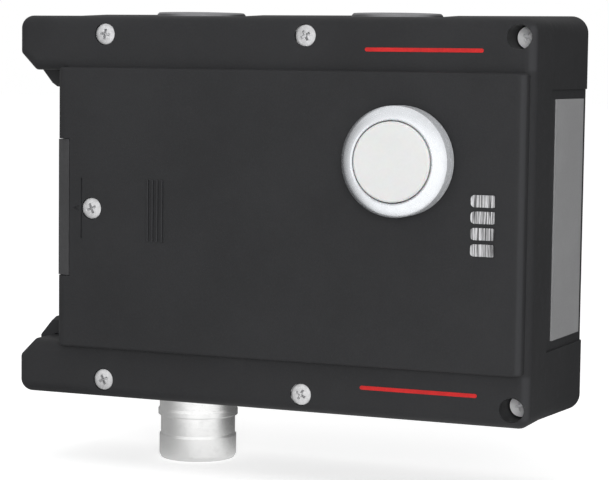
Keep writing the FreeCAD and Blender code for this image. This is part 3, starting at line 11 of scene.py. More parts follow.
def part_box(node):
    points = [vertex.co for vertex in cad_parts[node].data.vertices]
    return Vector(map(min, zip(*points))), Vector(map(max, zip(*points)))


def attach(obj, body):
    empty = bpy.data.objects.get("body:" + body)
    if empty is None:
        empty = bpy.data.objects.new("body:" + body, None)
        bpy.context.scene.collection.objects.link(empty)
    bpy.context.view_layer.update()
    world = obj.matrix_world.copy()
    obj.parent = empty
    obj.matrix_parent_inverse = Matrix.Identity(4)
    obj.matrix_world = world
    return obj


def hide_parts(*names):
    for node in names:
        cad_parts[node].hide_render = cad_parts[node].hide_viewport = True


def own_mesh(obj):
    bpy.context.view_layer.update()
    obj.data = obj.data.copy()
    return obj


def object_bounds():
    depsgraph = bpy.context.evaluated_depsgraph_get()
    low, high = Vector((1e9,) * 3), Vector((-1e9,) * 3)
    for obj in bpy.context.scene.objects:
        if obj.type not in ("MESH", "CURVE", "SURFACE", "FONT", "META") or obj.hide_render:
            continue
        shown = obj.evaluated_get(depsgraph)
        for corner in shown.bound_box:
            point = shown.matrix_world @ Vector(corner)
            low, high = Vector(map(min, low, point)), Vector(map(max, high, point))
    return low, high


bl_info = {
    "name": "Guard locking module",
    "version": (1, 0, 0),
    "blender": (4, 5, 0),
    "location": "View3D > Sidebar > Lock Module",
    "description": "Dresses a guard locking module and sets up its studio",
    "category": "Object",
}

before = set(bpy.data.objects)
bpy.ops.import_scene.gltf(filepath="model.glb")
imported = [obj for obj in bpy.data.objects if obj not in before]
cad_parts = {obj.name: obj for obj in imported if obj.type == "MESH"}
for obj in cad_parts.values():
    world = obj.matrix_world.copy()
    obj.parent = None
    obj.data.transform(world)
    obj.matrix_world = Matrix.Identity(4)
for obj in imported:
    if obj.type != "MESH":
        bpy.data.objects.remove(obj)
CAD_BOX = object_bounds()
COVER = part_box("front_cover")
BUTTON = sum(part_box("button_bezel"), Vector()) / 2
CONNECTOR = sum(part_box("connector_shell"), Vector()) / 2
MM = 0.001
DEPTH_AXIS = (0, 1, 0)
UPRIGHT_AXIS = (0, 0, 1)

# Places on the module
STRIP_HEIGHT = 14.9 * MM        # cover's top or bottom to its raised panel
PANEL_END = COVER[1].z - STRIP_HEIGHT
STRIP_SINK = 0.1 * MM           # screw heads below the strips
STRIP_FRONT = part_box("cover_screws")[0].y - STRIP_SINK
BEZEL_SHOULDER = 2.3 * MM       # height of the button ring's convex shoulder
RULE_RIGHT = COVER[1].x - 14.5 * MM
RULE_MIDDLES = {"accent_rule_upper": 46.6 * MM, "accent_rule_lower": -47.0 * MM}
DEEP_HEADS = COVER[1].x - 12 * MM       # screw heads right of this lie deep in the corners, where painted light makes them paler

# Colours that aren't settings
INNER_GREY = (0.07, 0.07, 0.075)
TERMINAL_GREY = (0.22, 0.26, 0.24)
RING_SILVER = (0.85, 0.87, 0.90)
PLUG_NICKEL = (0.30, 0.30, 0.31)
NUT_NICKEL = (0.6, 0.58, 0.5)
PIN_GOLD = (0.86, 0.62, 0.25)
COVER_SCREW_ZINC = (0.70, 0.70, 0.71)
SMALL_SCREW_ZINC = (0.58, 0.58, 0.6)
MECHANISM_ZINC = (0.52, 0.52, 0.53)
SPRING_STEEL = (0.55, 0.55, 0.58)
SEAL_BLACK = (0.02, 0.02, 0.021)
LAMP_CREAM = (0.8, 0.78, 0.7)
GUIDE_GREY = (0.42, 0.42, 0.43)
BOARD_GREEN = (0.02, 0.11, 0.05)
TAPE_BROWN = (0.30, 0.08, 0.03)
FLOOR_WHITE = (0.86, 0.86, 0.86)

# Painted highlight, wear, and how the parts came to rest
HIGHLIGHT_TURN = math.radians(45)   # azimuth that the painted highlight on the right corner faces
CORNER_HIGHLIGHT = 0.62                    # share of the lighter colour painted there as a highlight
RUB_TURN = math.radians(28)     # slant of the rubbed streaks
FIRST_SCREW_TURN = 23           # in degrees, and so is the next
NEXT_SCREW_TURN = 37

# Reflections: cosines over which the studio's tones change
BRIGHT_REACH = (-0.45, 0.95)
DARK_REACH = (0.45, 0.95)
STEEP_REACH = (0.25, 0.85)

# Floor, camera and lamps
FLOOR_RISE = 0.35               # share of its height in the direction that its reflected tone is taken from
FLOOR_GLOW = 0.62               # light that only the camera sees it give
SENSOR_WIDTH = 36.0             # in mm
# Each lamp: name, its power's setting, azimuth and elevation in degrees, distance, width and height in metres
LAMPS = (
    ("lamp_front", "key_power", 25, 9, 1.3, 0.45, 0.45),
    ("lamp_right", "right_power", 72, 14, 1.1, 0.5, 0.9),
    ("lamp_left", "left_power", -62, 18, 1.1, 0.6, 0.9),
    ("lamp_top", "top_power", 5, 62, 1.2, 0.9, 0.7),
)


class FinishSettings(bpy.types.PropertyGroup):
    """Colours and surface sizes of the finishes."""

    plastic: FloatVectorProperty(name="Moulding", description="Charcoal of the moulded body", subtype="COLOR",
                                 size=3, min=0, max=1, default=(0.0222, 0.0225, 0.0240))
    casting: FloatVectorProperty(name="Casting", description="Paint of the cast tongue guide",
                                 subtype="COLOR", size=3, min=0, max=1, default=(0.042, 0.042, 0.044))
    label: FloatVectorProperty(name="Label", description="Grey of the bare label plate", subtype="COLOR",
                               size=3, min=0, max=1, default=(0.275, 0.275, 0.28))
    lens: FloatVectorProperty(name="Lens", description="White of the button's cap", subtype="COLOR",
                              size=3, min=0, max=1, default=(0.74, 0.745, 0.74))
    accent: FloatVectorProperty(name="Accent", description="Red of the plain rules on the strips",
                                subtype="COLOR", size=3, min=0, max=1, default=(0.55, 0.02, 0.02))
    nickel: FloatVectorProperty(name="Nickel", description="Plated metal of the connector", subtype="COLOR",
                                size=3, min=0, max=1, default=(0.96, 0.96, 0.955))
    grain: FloatProperty(name="Grain", description="Size of the moulded grain", unit="LENGTH",
                         default=0.35 * MM, min=0.05 * MM, max=3 * MM)


class TrimSettings(bpy.types.PropertyGroup):
    """Sizes of the pieces that are modelled here."""

    head_radius: FloatProperty(name="Screw head", description="Radius of a cover screw's head", unit="LENGTH",
                               default=3.05 * MM)
    head_height: FloatProperty(name="Head height", description="Height of a cover screw's head",
                               unit="LENGTH", default=2.3 * MM)
    head_dome: FloatProperty(name="Head dome", description="Rise of the head's crown", unit="LENGTH",
                             default=0.5 * MM)
    shank_radius: FloatProperty(name="Shank", description="Radius of a cover screw's shank", unit="LENGTH",
                                default=1.95 * MM)
    thread_pitch: FloatProperty(name="Thread pitch", description="Pitch of the cover screws", unit="LENGTH",
                                default=0.7 * MM)
    recess_reach: FloatProperty(name="Recess reach", description="Length of one arm of the cross recess",
                                unit="LENGTH", default=1.75 * MM)
    recess_width: FloatProperty(name="Recess width", description="Width of the cross recess", unit="LENGTH",
                                default=0.85 * MM)
    recess_depth: FloatProperty(name="Recess depth", description="Depth of the cross recess", unit="LENGTH",
                                default=1.6 * MM)
    rule_length: FloatProperty(name="Rule length", description="Length of the plain red rules", unit="LENGTH",
                               default=34 * MM)
    rule_height: FloatProperty(name="Rule height", description="Height of the plain red rules", unit="LENGTH",
                               default=1.1 * MM)
    rule_proud: FloatProperty(name="Rule thickness", description="How far a rule stands off its strip",
                              unit="LENGTH", default=0.12 * MM)
    wire_radius: FloatProperty(name="Spring wire", description="Radius of the springs' wire", unit="LENGTH",
                               default=0.6 * MM)
    spring_turns: IntProperty(name="Spring turns", description="Free turns of each spring", default=3,
                              min=1, max=12)
    spring_sides: IntProperty(name="Wire sides", description="Sides of the spring wire", default=16,
                              min=6, max=32)


class StudioSettings(bpy.types.PropertyGroup):
    """Camera, floor and lamps."""

    azimuth: FloatProperty(name="Azimuth", description="Turn of the camera round the module", subtype="ANGLE",
                           default=math.radians(21.95))
    elevation: FloatProperty(name="Elevation", description="Camera angle above the horizon", subtype="ANGLE",
                             default=math.radians(4.77))
    roll: FloatProperty(name="Roll", description="Tilt of the picture", subtype="ANGLE",
                        default=math.radians(0.75))
    distance: FloatProperty(name="Distance", description="Camera to its target", unit="LENGTH", default=0.586)
    target: FloatVectorProperty(name="Target", description="Point in the middle of the picture",
                                unit="LENGTH", size=3, default=(12.97 * MM, -50.1 * MM, -6.60 * MM))
    lens: FloatProperty(name="Lens", description="Focal length on a 36 mm wide sensor, in mm", default=123.97)
    floor_gap: FloatProperty(name="Floor gap", description="Lowest point of the module to the floor",
                             unit="LENGTH", default=0.2 * MM)
    floor_half: FloatProperty(name="Floor", description="Half the floor's side", unit="LENGTH", default=6.0)
    ambient: FloatProperty(name="Ambient", description="Even light from all round", default=0.44, min=0)
    key_power: FloatProperty(name="Front lamp", description="Power of the lamp beside the camera, in watts",
                             default=8.0, min=0)
    right_power: FloatProperty(name="Right lamp", description="Power of the lamp on the right, in watts",
                               default=0.5, min=0)
    left_power: FloatProperty(name="Left lamp", description="Power of the lamp on the left, in watts",
                              default=0.8, min=0)
    top_power: FloatProperty(name="Top lamp", description="Power of the lamp overhead, in watts",
                             default=2.2, min=0)
    key_turn: FloatProperty(name="Bright side", subtype="ANGLE", default=math.radians(30),
                            description="Azimuth of the studio's brightest part in reflections")
    key_tone: FloatProperty(name="Bright tone", description="Its brightness", default=1.18, min=0)
    side_tone: FloatProperty(name="Side tone", description="Brightness at the sides and behind",
                             default=0.34, min=0)
    dark_turn: FloatProperty(name="Dark side", subtype="ANGLE", default=math.radians(160),
                             description="Azimuth of the studio's darkest part in reflections")
    dark_share: FloatProperty(name="Dark share", description="Share of brightness left there",
                              default=0.34, min=0, max=1)
    high_tone: FloatProperty(name="High tone", description="Brightness overhead and below",
                             default=0.86, min=0)


def settings():
    """The scene's finish, trim and studio settings."""
    scene = bpy.context.scene
    return scene.lock_finish, scene.lock_trim, scene.lock_studio


# Node helpers

def node(tree, kind, inputs=None, **properties):
    """A node whose inputs are given by name or number, as values or as other sockets."""
    made = tree.nodes.new(kind)
    for name, value in properties.items():
        setattr(made, name, value)
    for name, value in (inputs or {}).items():
        if isinstance(value, bpy.types.NodeSocket):
            tree.links.new(value, made.inputs[name])
        else:
            made.inputs[name].default_value = value
    return made


def maths(tree, operation, *values, clamp=False):
    """The result of an operation on floats."""
    made = node(tree, "ShaderNodeMath", dict(enumerate(values)), operation=operation, use_clamp=clamp)
    return made.outputs[0]


def vector_maths(tree, operation, *values, result="Vector"):
    """The result of an operation on vectors."""
    made = node(tree, "ShaderNodeVectorMath", dict(enumerate(values)), operation=operation)
    return made.outputs[result]


def product(tree, first, second):
    """One float times another."""
    return maths(tree, "MULTIPLY", first, second)


def reach_along(tree, vector, axis):
    """How far a vector reaches along a unit axis."""
    return vector_maths(tree, "DOT_PRODUCT", vector, axis, result="Value")


def levelled(tree, vector, rise=0.0):
    """A vector's direction after its upright part is multiplied by rise."""
    return vector_maths(tree, "NORMALIZE", vector_maths(tree, "MULTIPLY", vector, (1.0, 1.0, rise)))


def parts_of(tree, vector):
    """A vector's X, Y and Z."""
    return node(tree, "ShaderNodeSeparateXYZ", {"Vector": vector}).outputs


def object_place(tree):
    """The shaded point on its object, in metres."""
    return node(tree, "ShaderNodeTexCoord").outputs["Object"]


def plain_normal(tree):
    """The surface's normal before any bump."""
    return node(tree, "ShaderNodeNewGeometry").outputs["Normal"]


def fineness(tree, size):
    """The texture scale that gives marks of a size."""
    return maths(tree, "DIVIDE", 1.0, size)


def noise(tree, vector, scale, detail, roughness=0.5):
    """Cloudy noise between 0 and 1."""
    made = node(tree, "ShaderNodeTexNoise",
                {"Vector": vector, "Scale": scale, "Detail": detail, "Roughness": roughness})
    return made.outputs["Fac"]


def ranged(tree, value, low, high, to_low=0.0, to_high=1.0):
    """A value mapped smoothly from one range to another."""
    made = node(tree, "ShaderNodeMapRange",
                {"Value": value, "From Min": low, "From Max": high, "To Min": to_low, "To Max": to_high},
                interpolation_type="SMOOTHSTEP")
    return made.outputs["Result"]


def blended(tree, kind, factor, first, second):
    """Two floats, vectors or colours mixed by a factor."""
    start, result = {"FLOAT": (2, 0), "VECTOR": (4, 1), "RGBA": (6, 2)}[kind]
    made = node(tree, "ShaderNodeMix", {0: factor, start: first, start + 1: second}, data_type=kind)
    return made.outputs[result]


def shade(colour, factor):
    """A colour made lighter or darker, as red, green, blue and alpha."""
    return (*(min(1.0, channel * factor) for channel in colour), 1.0)


def mottled(tree, factor, colour, first, second):
    """A colour that goes from one shade of itself to another by a factor."""
    return blended(tree, "RGBA", factor, shade(colour, first), shade(colour, second))


def group_tree(name, inputs, outputs):
    """An empty node group with named float or vector sockets."""
    tree = bpy.data.node_groups.new(name, "ShaderNodeTree")
    for label, default in inputs.items():
        kind = "NodeSocketFloat" if isinstance(default, float) else "NodeSocketVector"
        tree.interface.new_socket(label, in_out="INPUT", socket_type=kind).default_value = default
    for label in outputs:
        tree.interface.new_socket(label, in_out="OUTPUT", socket_type="NodeSocketFloat")
    return tree, tree.nodes.new("NodeGroupInput").outputs, tree.nodes.new("NodeGroupOutput").inputs


def grain_group():
    """Spark-eroded mould grain: a height for bump and a slow tone change."""
    tree, given, out = group_tree("Moulded grain", {"Size": 0.35 * MM, "Blotch": 30 * MM}, ("Height", "Tone"))
    place = object_place(tree)
    scale = fineness(tree, given["Size"])
    cells = node(tree, "ShaderNodeTexVoronoi", {"Vector": place, "Scale": scale}, feature="SMOOTH_F1")
    fine = noise(tree, place, product(tree, scale, 1.7), 3.0)
    pitted = product(tree, cells.outputs["Distance"], fine)
    tree.links.new(maths(tree, "ADD", pitted, product(tree, fine, 0.4)), out["Height"])
    slow = noise(tree, place, fineness(tree, given["Blotch"]), 4.0, 0.6)
    speck = noise(tree, place, product(tree, scale, 0.6), 1.0)
    mixed = maths(tree, "ADD", product(tree, slow, 0.65), product(tree, speck, 0.35))
    tree.links.new(ranged(tree, mixed, 0.3, 0.7), out["Tone"])
    return tree


def edge_group():
    """Where an edge has been handled: 1 on sharp edges, broken up by noise."""
    tree, given, out = group_tree("Handled edges", {"Width": 0.4 * MM, "Breakup": 4 * MM}, ("Mask",))
    rounded = node(tree, "ShaderNodeBevel", {"Radius": given["Width"]}, samples=6).outputs["Normal"]
    turn = maths(tree, "SUBTRACT", 1.0, reach_along(tree, rounded, plain_normal(tree)))
    broken = noise(tree, object_place(tree), fineness(tree, given["Breakup"]), 5.0, 0.65)
    mask = product(tree, ranged(tree, turn, 0.01, 0.16), ranged(tree, broken, 0.35, 0.65))
    tree.links.new(mask, out["Mask"])
    return tree


def scuff_group():
    """Fine rubbed streaks and finger marks."""
    tree, given, out = group_tree("Rubbed marks", {"Length": 9 * MM, "Width": 0.25 * MM},
                                  ("Streaks", "Smudges"))
    place = object_place(tree)
    along = fineness(tree, given["Length"])
    across = fineness(tree, given["Width"])
    stretch = node(tree, "ShaderNodeCombineXYZ", {"X": along, "Y": across, "Z": across}).outputs[0]
    turned = node(tree, "ShaderNodeVectorRotate", {"Vector": place, "Angle": RUB_TURN},
                  rotation_type="Y_AXIS").outputs[0]
    streaks = noise(tree, vector_maths(tree, "MULTIPLY", turned, stretch), 1.0, 2.0)
    tree.links.new(ranged(tree, streaks, 0.62, 0.78), out["Streaks"])
    smudges = noise(tree, place, maths(tree, "DIVIDE", 2.2, given["Length"]), 3.0, 0.7)
    tree.links.new(ranged(tree, smudges, 0.45, 0.75), out["Smudges"])
    return tree


def turning_group():
    """Lathe marks that run round an axis through a centre."""
    tree, given, out = group_tree("Turning marks",
                                  {"Pitch": 0.12 * MM, "Centre": (0.0, 0.0, 0.0), "Axis": (0.0, 0.0, 1.0)},
                                  ("Height",))
    offset = vector_maths(tree, "SUBTRACT", object_place(tree), given["Centre"])
    axial = reach_along(tree, offset, given["Axis"])
    swept = vector_maths(tree, "CROSS_PRODUCT", offset, given["Axis"])
    radial = vector_maths(tree, "LENGTH", swept, result="Value")
    flat = node(tree, "ShaderNodeCombineXYZ", {"X": axial, "Y": radial}).outputs[0]
    tree.links.new(noise(tree, flat, fineness(tree, given["Pitch"]), 2.0, 0.6), out["Height"])
    return tree


def sky_group():
    """The studio as it shows in reflections: its brightness in a direction from the module."""
    _, _, studio = settings()
    tree, given, out = group_tree("Studio sky", {"Direction": (0.0, 0.0, 1.0)}, ("Tone",))
    level = levelled(tree, given["Direction"])
    facing = reach_along(tree, level, tuple(direction(studio.key_turn, 0.0)))
    around = ranged(tree, facing, *BRIGHT_REACH, studio.side_tone, studio.key_tone)
    turned = reach_along(tree, level, tuple(direction(studio.dark_turn, 0.0)))
    around = product(tree, around, ranged(tree, turned, *DARK_REACH, 1.0, studio.dark_share))
    upright = maths(tree, "ABSOLUTE", parts_of(tree, given["Direction"])["Z"])
    tone = blended(tree, "FLOAT", ranged(tree, upright, *STEEP_REACH), around, studio.high_tone)
    tree.links.new(tone, out["Tone"])
    return tree


def shared(name):
    """A shared effect group, built the first time it is asked for."""
    builders = {"Moulded grain": grain_group, "Handled edges": edge_group, "Rubbed marks": scuff_group,
                "Turning marks": turning_group, "Studio sky": sky_group}
    return bpy.data.node_groups.get(name) or builders[name]()


def effect(tree, name, **values):
    """One shared effect placed in a material with its own values."""
    made = tree.nodes.new("ShaderNodeGroup")
    made.node_tree = shared(name)
    for label, value in values.items():
        made.inputs[label].default_value = value
    return made.outputs


def sky_tone(tree, towards):
    """The studio's tone in a direction."""
    made = effect(tree, "Studio sky")["Tone"]
    tree.links.new(towards, made.node.inputs["Direction"])
    return made


def material(name, colour, **values):
    """A material with a Principled shader: returns the material, its tree and the shader."""
    made = bpy.data.materials.new(name)
    made.use_nodes = True
    shader = made.node_tree.nodes["Principled BSDF"]
    shader.inputs["Base Color"].default_value = (*colour, 1.0)
    for label, value in values.items():
        shader.inputs[label.replace("_", " ")].default_value = value
    made.diffuse_color = (*colour, 1.0)
    return made, made.node_tree, shader


def drive(shader, label, socket):
    """Links a socket to one of a shader's inputs."""
    shader.id_data.links.new(socket, shader.inputs[label])


def bump(tree, shader, height, distance, strength, below=None):
    """A bump node from a height to the shader's normal, on top of another normal if one is given."""
    made = node(tree, "ShaderNodeBump", {"Height": height, "Distance": distance, "Strength": strength})
    if below is not None:
        tree.links.new(below, made.inputs["Normal"])
    drive(shader, "Normal", made.outputs[0])


# Finishes

def painted_corner_highlight(tree):
    """Painted highlight where the right front corner's fillet faces the light: along the panel's edge, and on
    the strips' corners.
    """
    facing = reach_along(tree, plain_normal(tree), tuple(direction(HIGHLIGHT_TURN, 0.0)))
    parts = parts_of(tree, object_place(tree))
    panel = ranged(tree, parts["Y"], STRIP_FRONT - 0.2 * MM, STRIP_FRONT + 0.2 * MM, 1.0, 0.0)
    ends = ranged(tree, maths(tree, "ABSOLUTE", parts["Z"]), PANEL_END, PANEL_END + 1.0 * MM)
    return product(tree, ranged(tree, facing, 0.88, 1.0), maths(tree, "MAXIMUM", panel, ends))


def moulded_plastic(name, colour, grain, roughness=0.5, contrast=0.12, corner_highlight=0.0):
    """Grained engineering plastic with rubbed edges and faint marks, and a painted highlight on the right
    front corner when corner_highlight is given.
    """
    made, tree, shader = material(name, colour, Roughness=roughness, Specular_IOR_Level=0.22)
    texture = effect(tree, "Moulded grain", Size=grain)
    edges = effect(tree, "Handled edges", Width=0.45 * MM)
    marks = effect(tree, "Rubbed marks")
    toned = mottled(tree, texture["Tone"], colour, 1 - contrast, 1 + contrast)
    surface_colour = blended(tree, "RGBA", product(tree, edges["Mask"], 0.35), toned, shade(colour, 1.9))
    # painted highlight: the corner's fillet is lightened towards twice the colour where it faces the light
    if corner_highlight:
        surface_colour = blended(tree, "RGBA", product(tree, painted_corner_highlight(tree), corner_highlight), surface_colour, shade(colour, 2.0))
    drive(shader, "Base Color", surface_colour)
    rough = maths(tree, "SUBTRACT", roughness + 0.05, product(tree, edges["Mask"], 0.14))
    rough = maths(tree, "SUBTRACT", rough, product(tree, marks["Smudges"], 0.07))
    rough = maths(tree, "ADD", rough, product(tree, marks["Streaks"], 0.05), clamp=True)
    drive(shader, "Roughness", rough)
    bump(tree, shader, texture["Height"], 0.05 * MM, 0.55)
    return made


def moulded_rubber(name, colour):
    """Matt elastomer with a soft bloom."""
    made, tree, shader = material(name, colour, Roughness=0.82, Specular_IOR_Level=0.25, Sheen_Weight=0.08)
    texture = effect(tree, "Moulded grain", Size=0.6 * MM, Blotch=8 * MM)
    drive(shader, "Base Color", mottled(tree, texture["Tone"], colour, 0.85, 1.5))
    bump(tree, shader, texture["Height"], 0.03 * MM, 0.4)
    return made


def rolled_ledges(tree, centre, rounding, share):
    """A normal rounded at the edges; ledges that face up take a share of the normal of the wall by them."""
    rounded = node(tree, "ShaderNodeBevel", {"Radius": rounding}, samples=8).outputs["Normal"]
    outwards = levelled(tree, vector_maths(tree, "SUBTRACT", object_place(tree), tuple(centre)))
    factor = ranged(tree, parts_of(tree, rounded)["Z"], 0.05, 0.4, 0.0, share)
    return blended(tree, "VECTOR", factor, rounded, outwards)


def turned_metal(name, colour, centre, axis, roughness, metallic=1.0, depth=0.004 * MM, rounding=0.15 * MM,
                 ledges=0.0):
    """Plated metal with lathe marks round its axis; a lower metallic value gives a blasted, matt plating."""
    made, tree, shader = material(name, colour, Metallic=metallic, Roughness=roughness)
    lathe_marks = effect(tree, "Turning marks", Centre=centre, Axis=axis)["Height"]
    marks = effect(tree, "Rubbed marks", Length=5 * MM)
    drive(shader, "Base Color", mottled(tree, marks["Smudges"], colour, 1.0, 0.94))
    rough = maths(tree, "ADD", roughness - 0.03, product(tree, lathe_marks, 0.06))
    drive(shader, "Roughness", maths(tree, "ADD", rough, product(tree, marks["Smudges"], 0.03)))
    bump(tree, shader, lathe_marks, depth, 0.5, rolled_ledges(tree, centre, rounding, ledges))
    return made


def matt_behind(finish, depth, metallic):
    """Leaves a turned finish matt behind a depth, on the side that was only blasted."""
    tree = finish.node_tree
    shader = tree.nodes["Principled BSDF"]
    polished = shader.inputs["Metallic"].default_value
    backwards = parts_of(tree, object_place(tree))["Y"]
    drive(shader, "Metallic", ranged(tree, backwards, depth - 0.1 * MM, depth + 0.1 * MM, polished, metallic))


def plated_steel(name, colour, roughness=0.34, metallic=1.0):
    """Zinc plated steel: a cloudy sheen with small spangles and darker rubbed marks."""
    made, tree, shader = material(name, colour, Metallic=metallic, Roughness=roughness)
    texture = effect(tree, "Moulded grain", Size=0.5 * MM, Blotch=6 * MM)
    marks = effect(tree, "Rubbed marks", Length=4 * MM)
    cloudy = mottled(tree, texture["Tone"], colour, 0.78, 1.12)
    scraped = product(tree, marks["Streaks"], 0.5)
    drive(shader, "Base Color", blended(tree, "RGBA", scraped, cloudy, shade(colour, 0.55)))
    drive(shader, "Roughness", maths(tree, "ADD", roughness - 0.06, product(tree, texture["Tone"], 0.14)))
    bump(tree, shader, texture["Height"], 0.006 * MM, 0.5)
    return made


def painted_casting(name, colour):
    """Powder coated die casting: an even orange peel, rubbed bright where the tongue runs."""
    made, tree, shader = material(name, colour, Roughness=0.42, Specular_IOR_Level=0.45)
    texture = effect(tree, "Moulded grain", Size=1.1 * MM, Blotch=15 * MM)
    edges = effect(tree, "Handled edges", Width=0.5 * MM, Breakup=2.5 * MM)
    coat = mottled(tree, texture["Tone"], colour, 0.9, 1.15)
    rubbed = product(tree, edges["Mask"], 0.5)
    drive(shader, "Base Color", blended(tree, "RGBA", rubbed, coat, shade(colour, 3.5)))
    drive(shader, "Metallic", product(tree, rubbed, 0.6))
    bump(tree, shader, texture["Height"], 0.05 * MM, 0.4)
    return made


def label_foil(name, colour):
    """Satin label plate, finely brushed along its length and left bare."""
    made, tree, shader = material(name, colour, Roughness=0.45, Specular_IOR_Level=0.4)
    marks = effect(tree, "Rubbed marks", Length=40 * MM, Width=0.15 * MM)
    texture = effect(tree, "Moulded grain", Size=0.4 * MM, Blotch=20 * MM)
    toned = mottled(tree, texture["Tone"], colour, 0.95, 1.05)
    brushed = product(tree, marks["Streaks"], 0.3)
    drive(shader, "Base Color", blended(tree, "RGBA", brushed, toned, shade(colour, 1.25)))
    bump(tree, shader, marks["Streaks"], 0.004 * MM, 0.5)
    return made


def lens_plastic(name, colour):
    """Milky button cap: fine moulded haze and a slight gloss."""
    made, tree, shader = material(name, colour, Roughness=0.36, Specular_IOR_Level=0.4,
                                  Subsurface_Weight=0.15, Subsurface_Scale=1.5 * MM)
    texture = effect(tree, "Moulded grain", Size=0.5 * MM, Blotch=12 * MM)
    drive(shader, "Base Color", mottled(tree, texture["Tone"], colour, 0.975, 1.015))
    bump(tree, shader, texture["Height"], 0.006 * MM, 0.4)
    return made


def guide_plastic(name, colour):
    """Frosted light guide, grey until it is lit, with a glossy ribbed face; the ribs' streaks in its colour
    are painted shade and painted highlight.
    """
    made, tree, shader = material(name, colour, Roughness=0.16, Specular_IOR_Level=0.5, IOR=1.49,
                                  Transmission_Weight=0.12)
    rib_width, rib_length = 0.34 * MM, 9 * MM
    upright = vector_maths(tree, "MULTIPLY", object_place(tree), (1 / rib_width, 0.0, 1 / rib_length))
    streaks = ranged(tree, noise(tree, upright, 1.0, 1.5), 0.36, 0.64)
    # the streaks' bump is the ribs' relief; their colour, from a quarter to 1.75 times the grey, is painted
    # shade in the grooves and painted highlight on the faces
    drive(shader, "Base Color", mottled(tree, streaks, colour, 0.25, 1.75))
    bump(tree, shader, streaks, 0.05 * MM, 0.4)
    return made


def solder_mask(name, colour):
    """Board laminate under green lacquer, with copper tracks that show as lighter lines."""
    made, tree, shader = material(name, colour, Roughness=0.3, Specular_IOR_Level=0.5, Coat_Weight=0.3,
                                  Coat_Roughness=0.2)
    parts = parts_of(tree, object_place(tree))
    flat = node(tree, "ShaderNodeCombineXYZ", {"X": parts["X"], "Y": parts["Z"], "Z": parts["Y"]}).outputs[0]
    bricks = node(tree, "ShaderNodeTexBrick",
                  {"Vector": flat, "Color1": (1, 1, 1, 1), "Color2": (0.6, 0.6, 0.6, 1),
                   "Mortar": (0, 0, 0, 1), "Scale": 1 / (6 * MM), "Mortar Size": 0.08})
    copper = node(tree, "ShaderNodeSeparateColor", {"Color": bricks.outputs["Color"]}).outputs[0]
    drive(shader, "Base Color", mottled(tree, copper, colour, 0.7, 1.5))
    bump(tree, shader, copper, 0.03 * MM, 0.6)
    return made


def taped_coil(name, colour):
    """Coil under lacquered tape: the turns show through as fine even ridges."""
    made, tree, shader = material(name, colour, Roughness=0.35, Specular_IOR_Level=0.5)
    turns = node(tree, "ShaderNodeTexWave",
                 {"Vector": object_place(tree), "Scale": 1 / (2.2 * MM), "Distortion": 0.4},
                 bands_direction="Z").outputs["Fac"]
    drive(shader, "Base Color", mottled(tree, turns, colour, 0.6, 1.3))
    bump(tree, shader, turns, 0.15 * MM, 0.6)
    return made


def flat_paint(name, colour):
    """Printed ink with a faint mottle."""
    made, tree, shader = material(name, colour, Roughness=0.5, Specular_IOR_Level=0.3)
    texture = effect(tree, "Moulded grain", Size=0.3 * MM, Blotch=5 * MM)
    drive(shader, "Base Color", mottled(tree, texture["Tone"], colour, 0.85, 1.1))
    bump(tree, shader, texture["Height"], 0.02 * MM, 0.3)
    return made


def dress(names, finish):
    """Gives CAD nodes their finish."""
    for name in names:
        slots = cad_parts[name].data.materials
        slots.clear()
        slots.append(finish)


# Mesh helpers

def placed_object(name, data):
    """A new object in the scene."""
    made = bpy.data.objects.new(name, data)
    bpy.context.scene.collection.objects.link(made)
    return made


def new_piece(name, mesh, finish, body, replaced=()):
    """A finished mesh as a piece that rides on a body."""
    made = placed_object(name, mesh)
    mesh.materials.clear()
    mesh.materials.append(finish)
    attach(made, body)
    if replaced:
        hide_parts(*replaced)
    return made


def mesh_from(name, build):
    """A mesh filled by a function that works on a bmesh."""
    mesh = bpy.data.meshes.new(name)
    work = bmesh.new()
    build(work)
    bmesh.ops.recalc_face_normals(work, faces=work.faces)
    work.to_mesh(mesh)
    work.free()
    return mesh


def smooth_by_angle(mesh, degrees=32):
    """Smooth shading with sharp edges kept where faces meet at more than an angle."""
    mesh.shade_smooth()
    mesh.set_sharp_from_angle(angle=math.radians(degrees))


def round_angles(steps):
    """Even angles round a circle."""
    return [math.tau * i / steps for i in range(steps)]


def bridge(work, first, second):
    """Faces from one loop of vertices to the next, or between a loop and a single point."""
    steps = max(len(first), len(second))
    for i in range(steps):
        after = (i + 1) % steps
        if len(first) == 1:
            work.faces.new((first[0], second[after], second[i]))
        elif len(second) == 1:
            work.faces.new((first[i], first[after], second[0]))
        else:
            work.faces.new((first[i], first[after], second[after], second[i]))


def lathe(work, profile, steps=64):
    """A closed solid turned about Z from (radius, height) points; the first and last lie on the axis."""
    rings = []
    for radius, height in profile:
        if radius == 0:
            rings.append([work.verts.new((0, 0, height))])
            continue
        rings.append([work.verts.new((radius * math.cos(angle), radius * math.sin(angle), height))
                      for angle in round_angles(steps)])
    for low, high in zip(rings, rings[1:]):
        bridge(work, low, high)


def boolean(target, cutter):
    """Target mesh minus the cutter mesh."""
    base = placed_object("base", target)
    tool = placed_object("tool", cutter)
    modifier = base.modifiers.new("cut", "BOOLEAN")
    modifier.operation = "DIFFERENCE"
    modifier.solver = "EXACT"
    modifier.use_self = True
    modifier.object = tool
    result = bpy.data.meshes.new_from_object(base.evaluated_get(bpy.context.evaluated_depsgraph_get()))
    for made in (base, tool):
        bpy.data.objects.remove(made)
    return result


def clusters(name, reach):
    """The boxes of a CAD node's separate solids, told apart across the module's face."""
    groups = []
    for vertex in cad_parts[name].data.vertices:
        place = vertex.co
        for group in groups:
            if abs(group[0].x - place.x) < reach and abs(group[0].z - place.z) < reach:
                group.append(place)
                break
        else:
            groups.append([place])
    boxes = [(Vector(map(min, *group)), Vector(map(max, *group))) for group in groups]
    return sorted(boxes, key=lambda box: (round(box[0].z, 3), box[0].x))


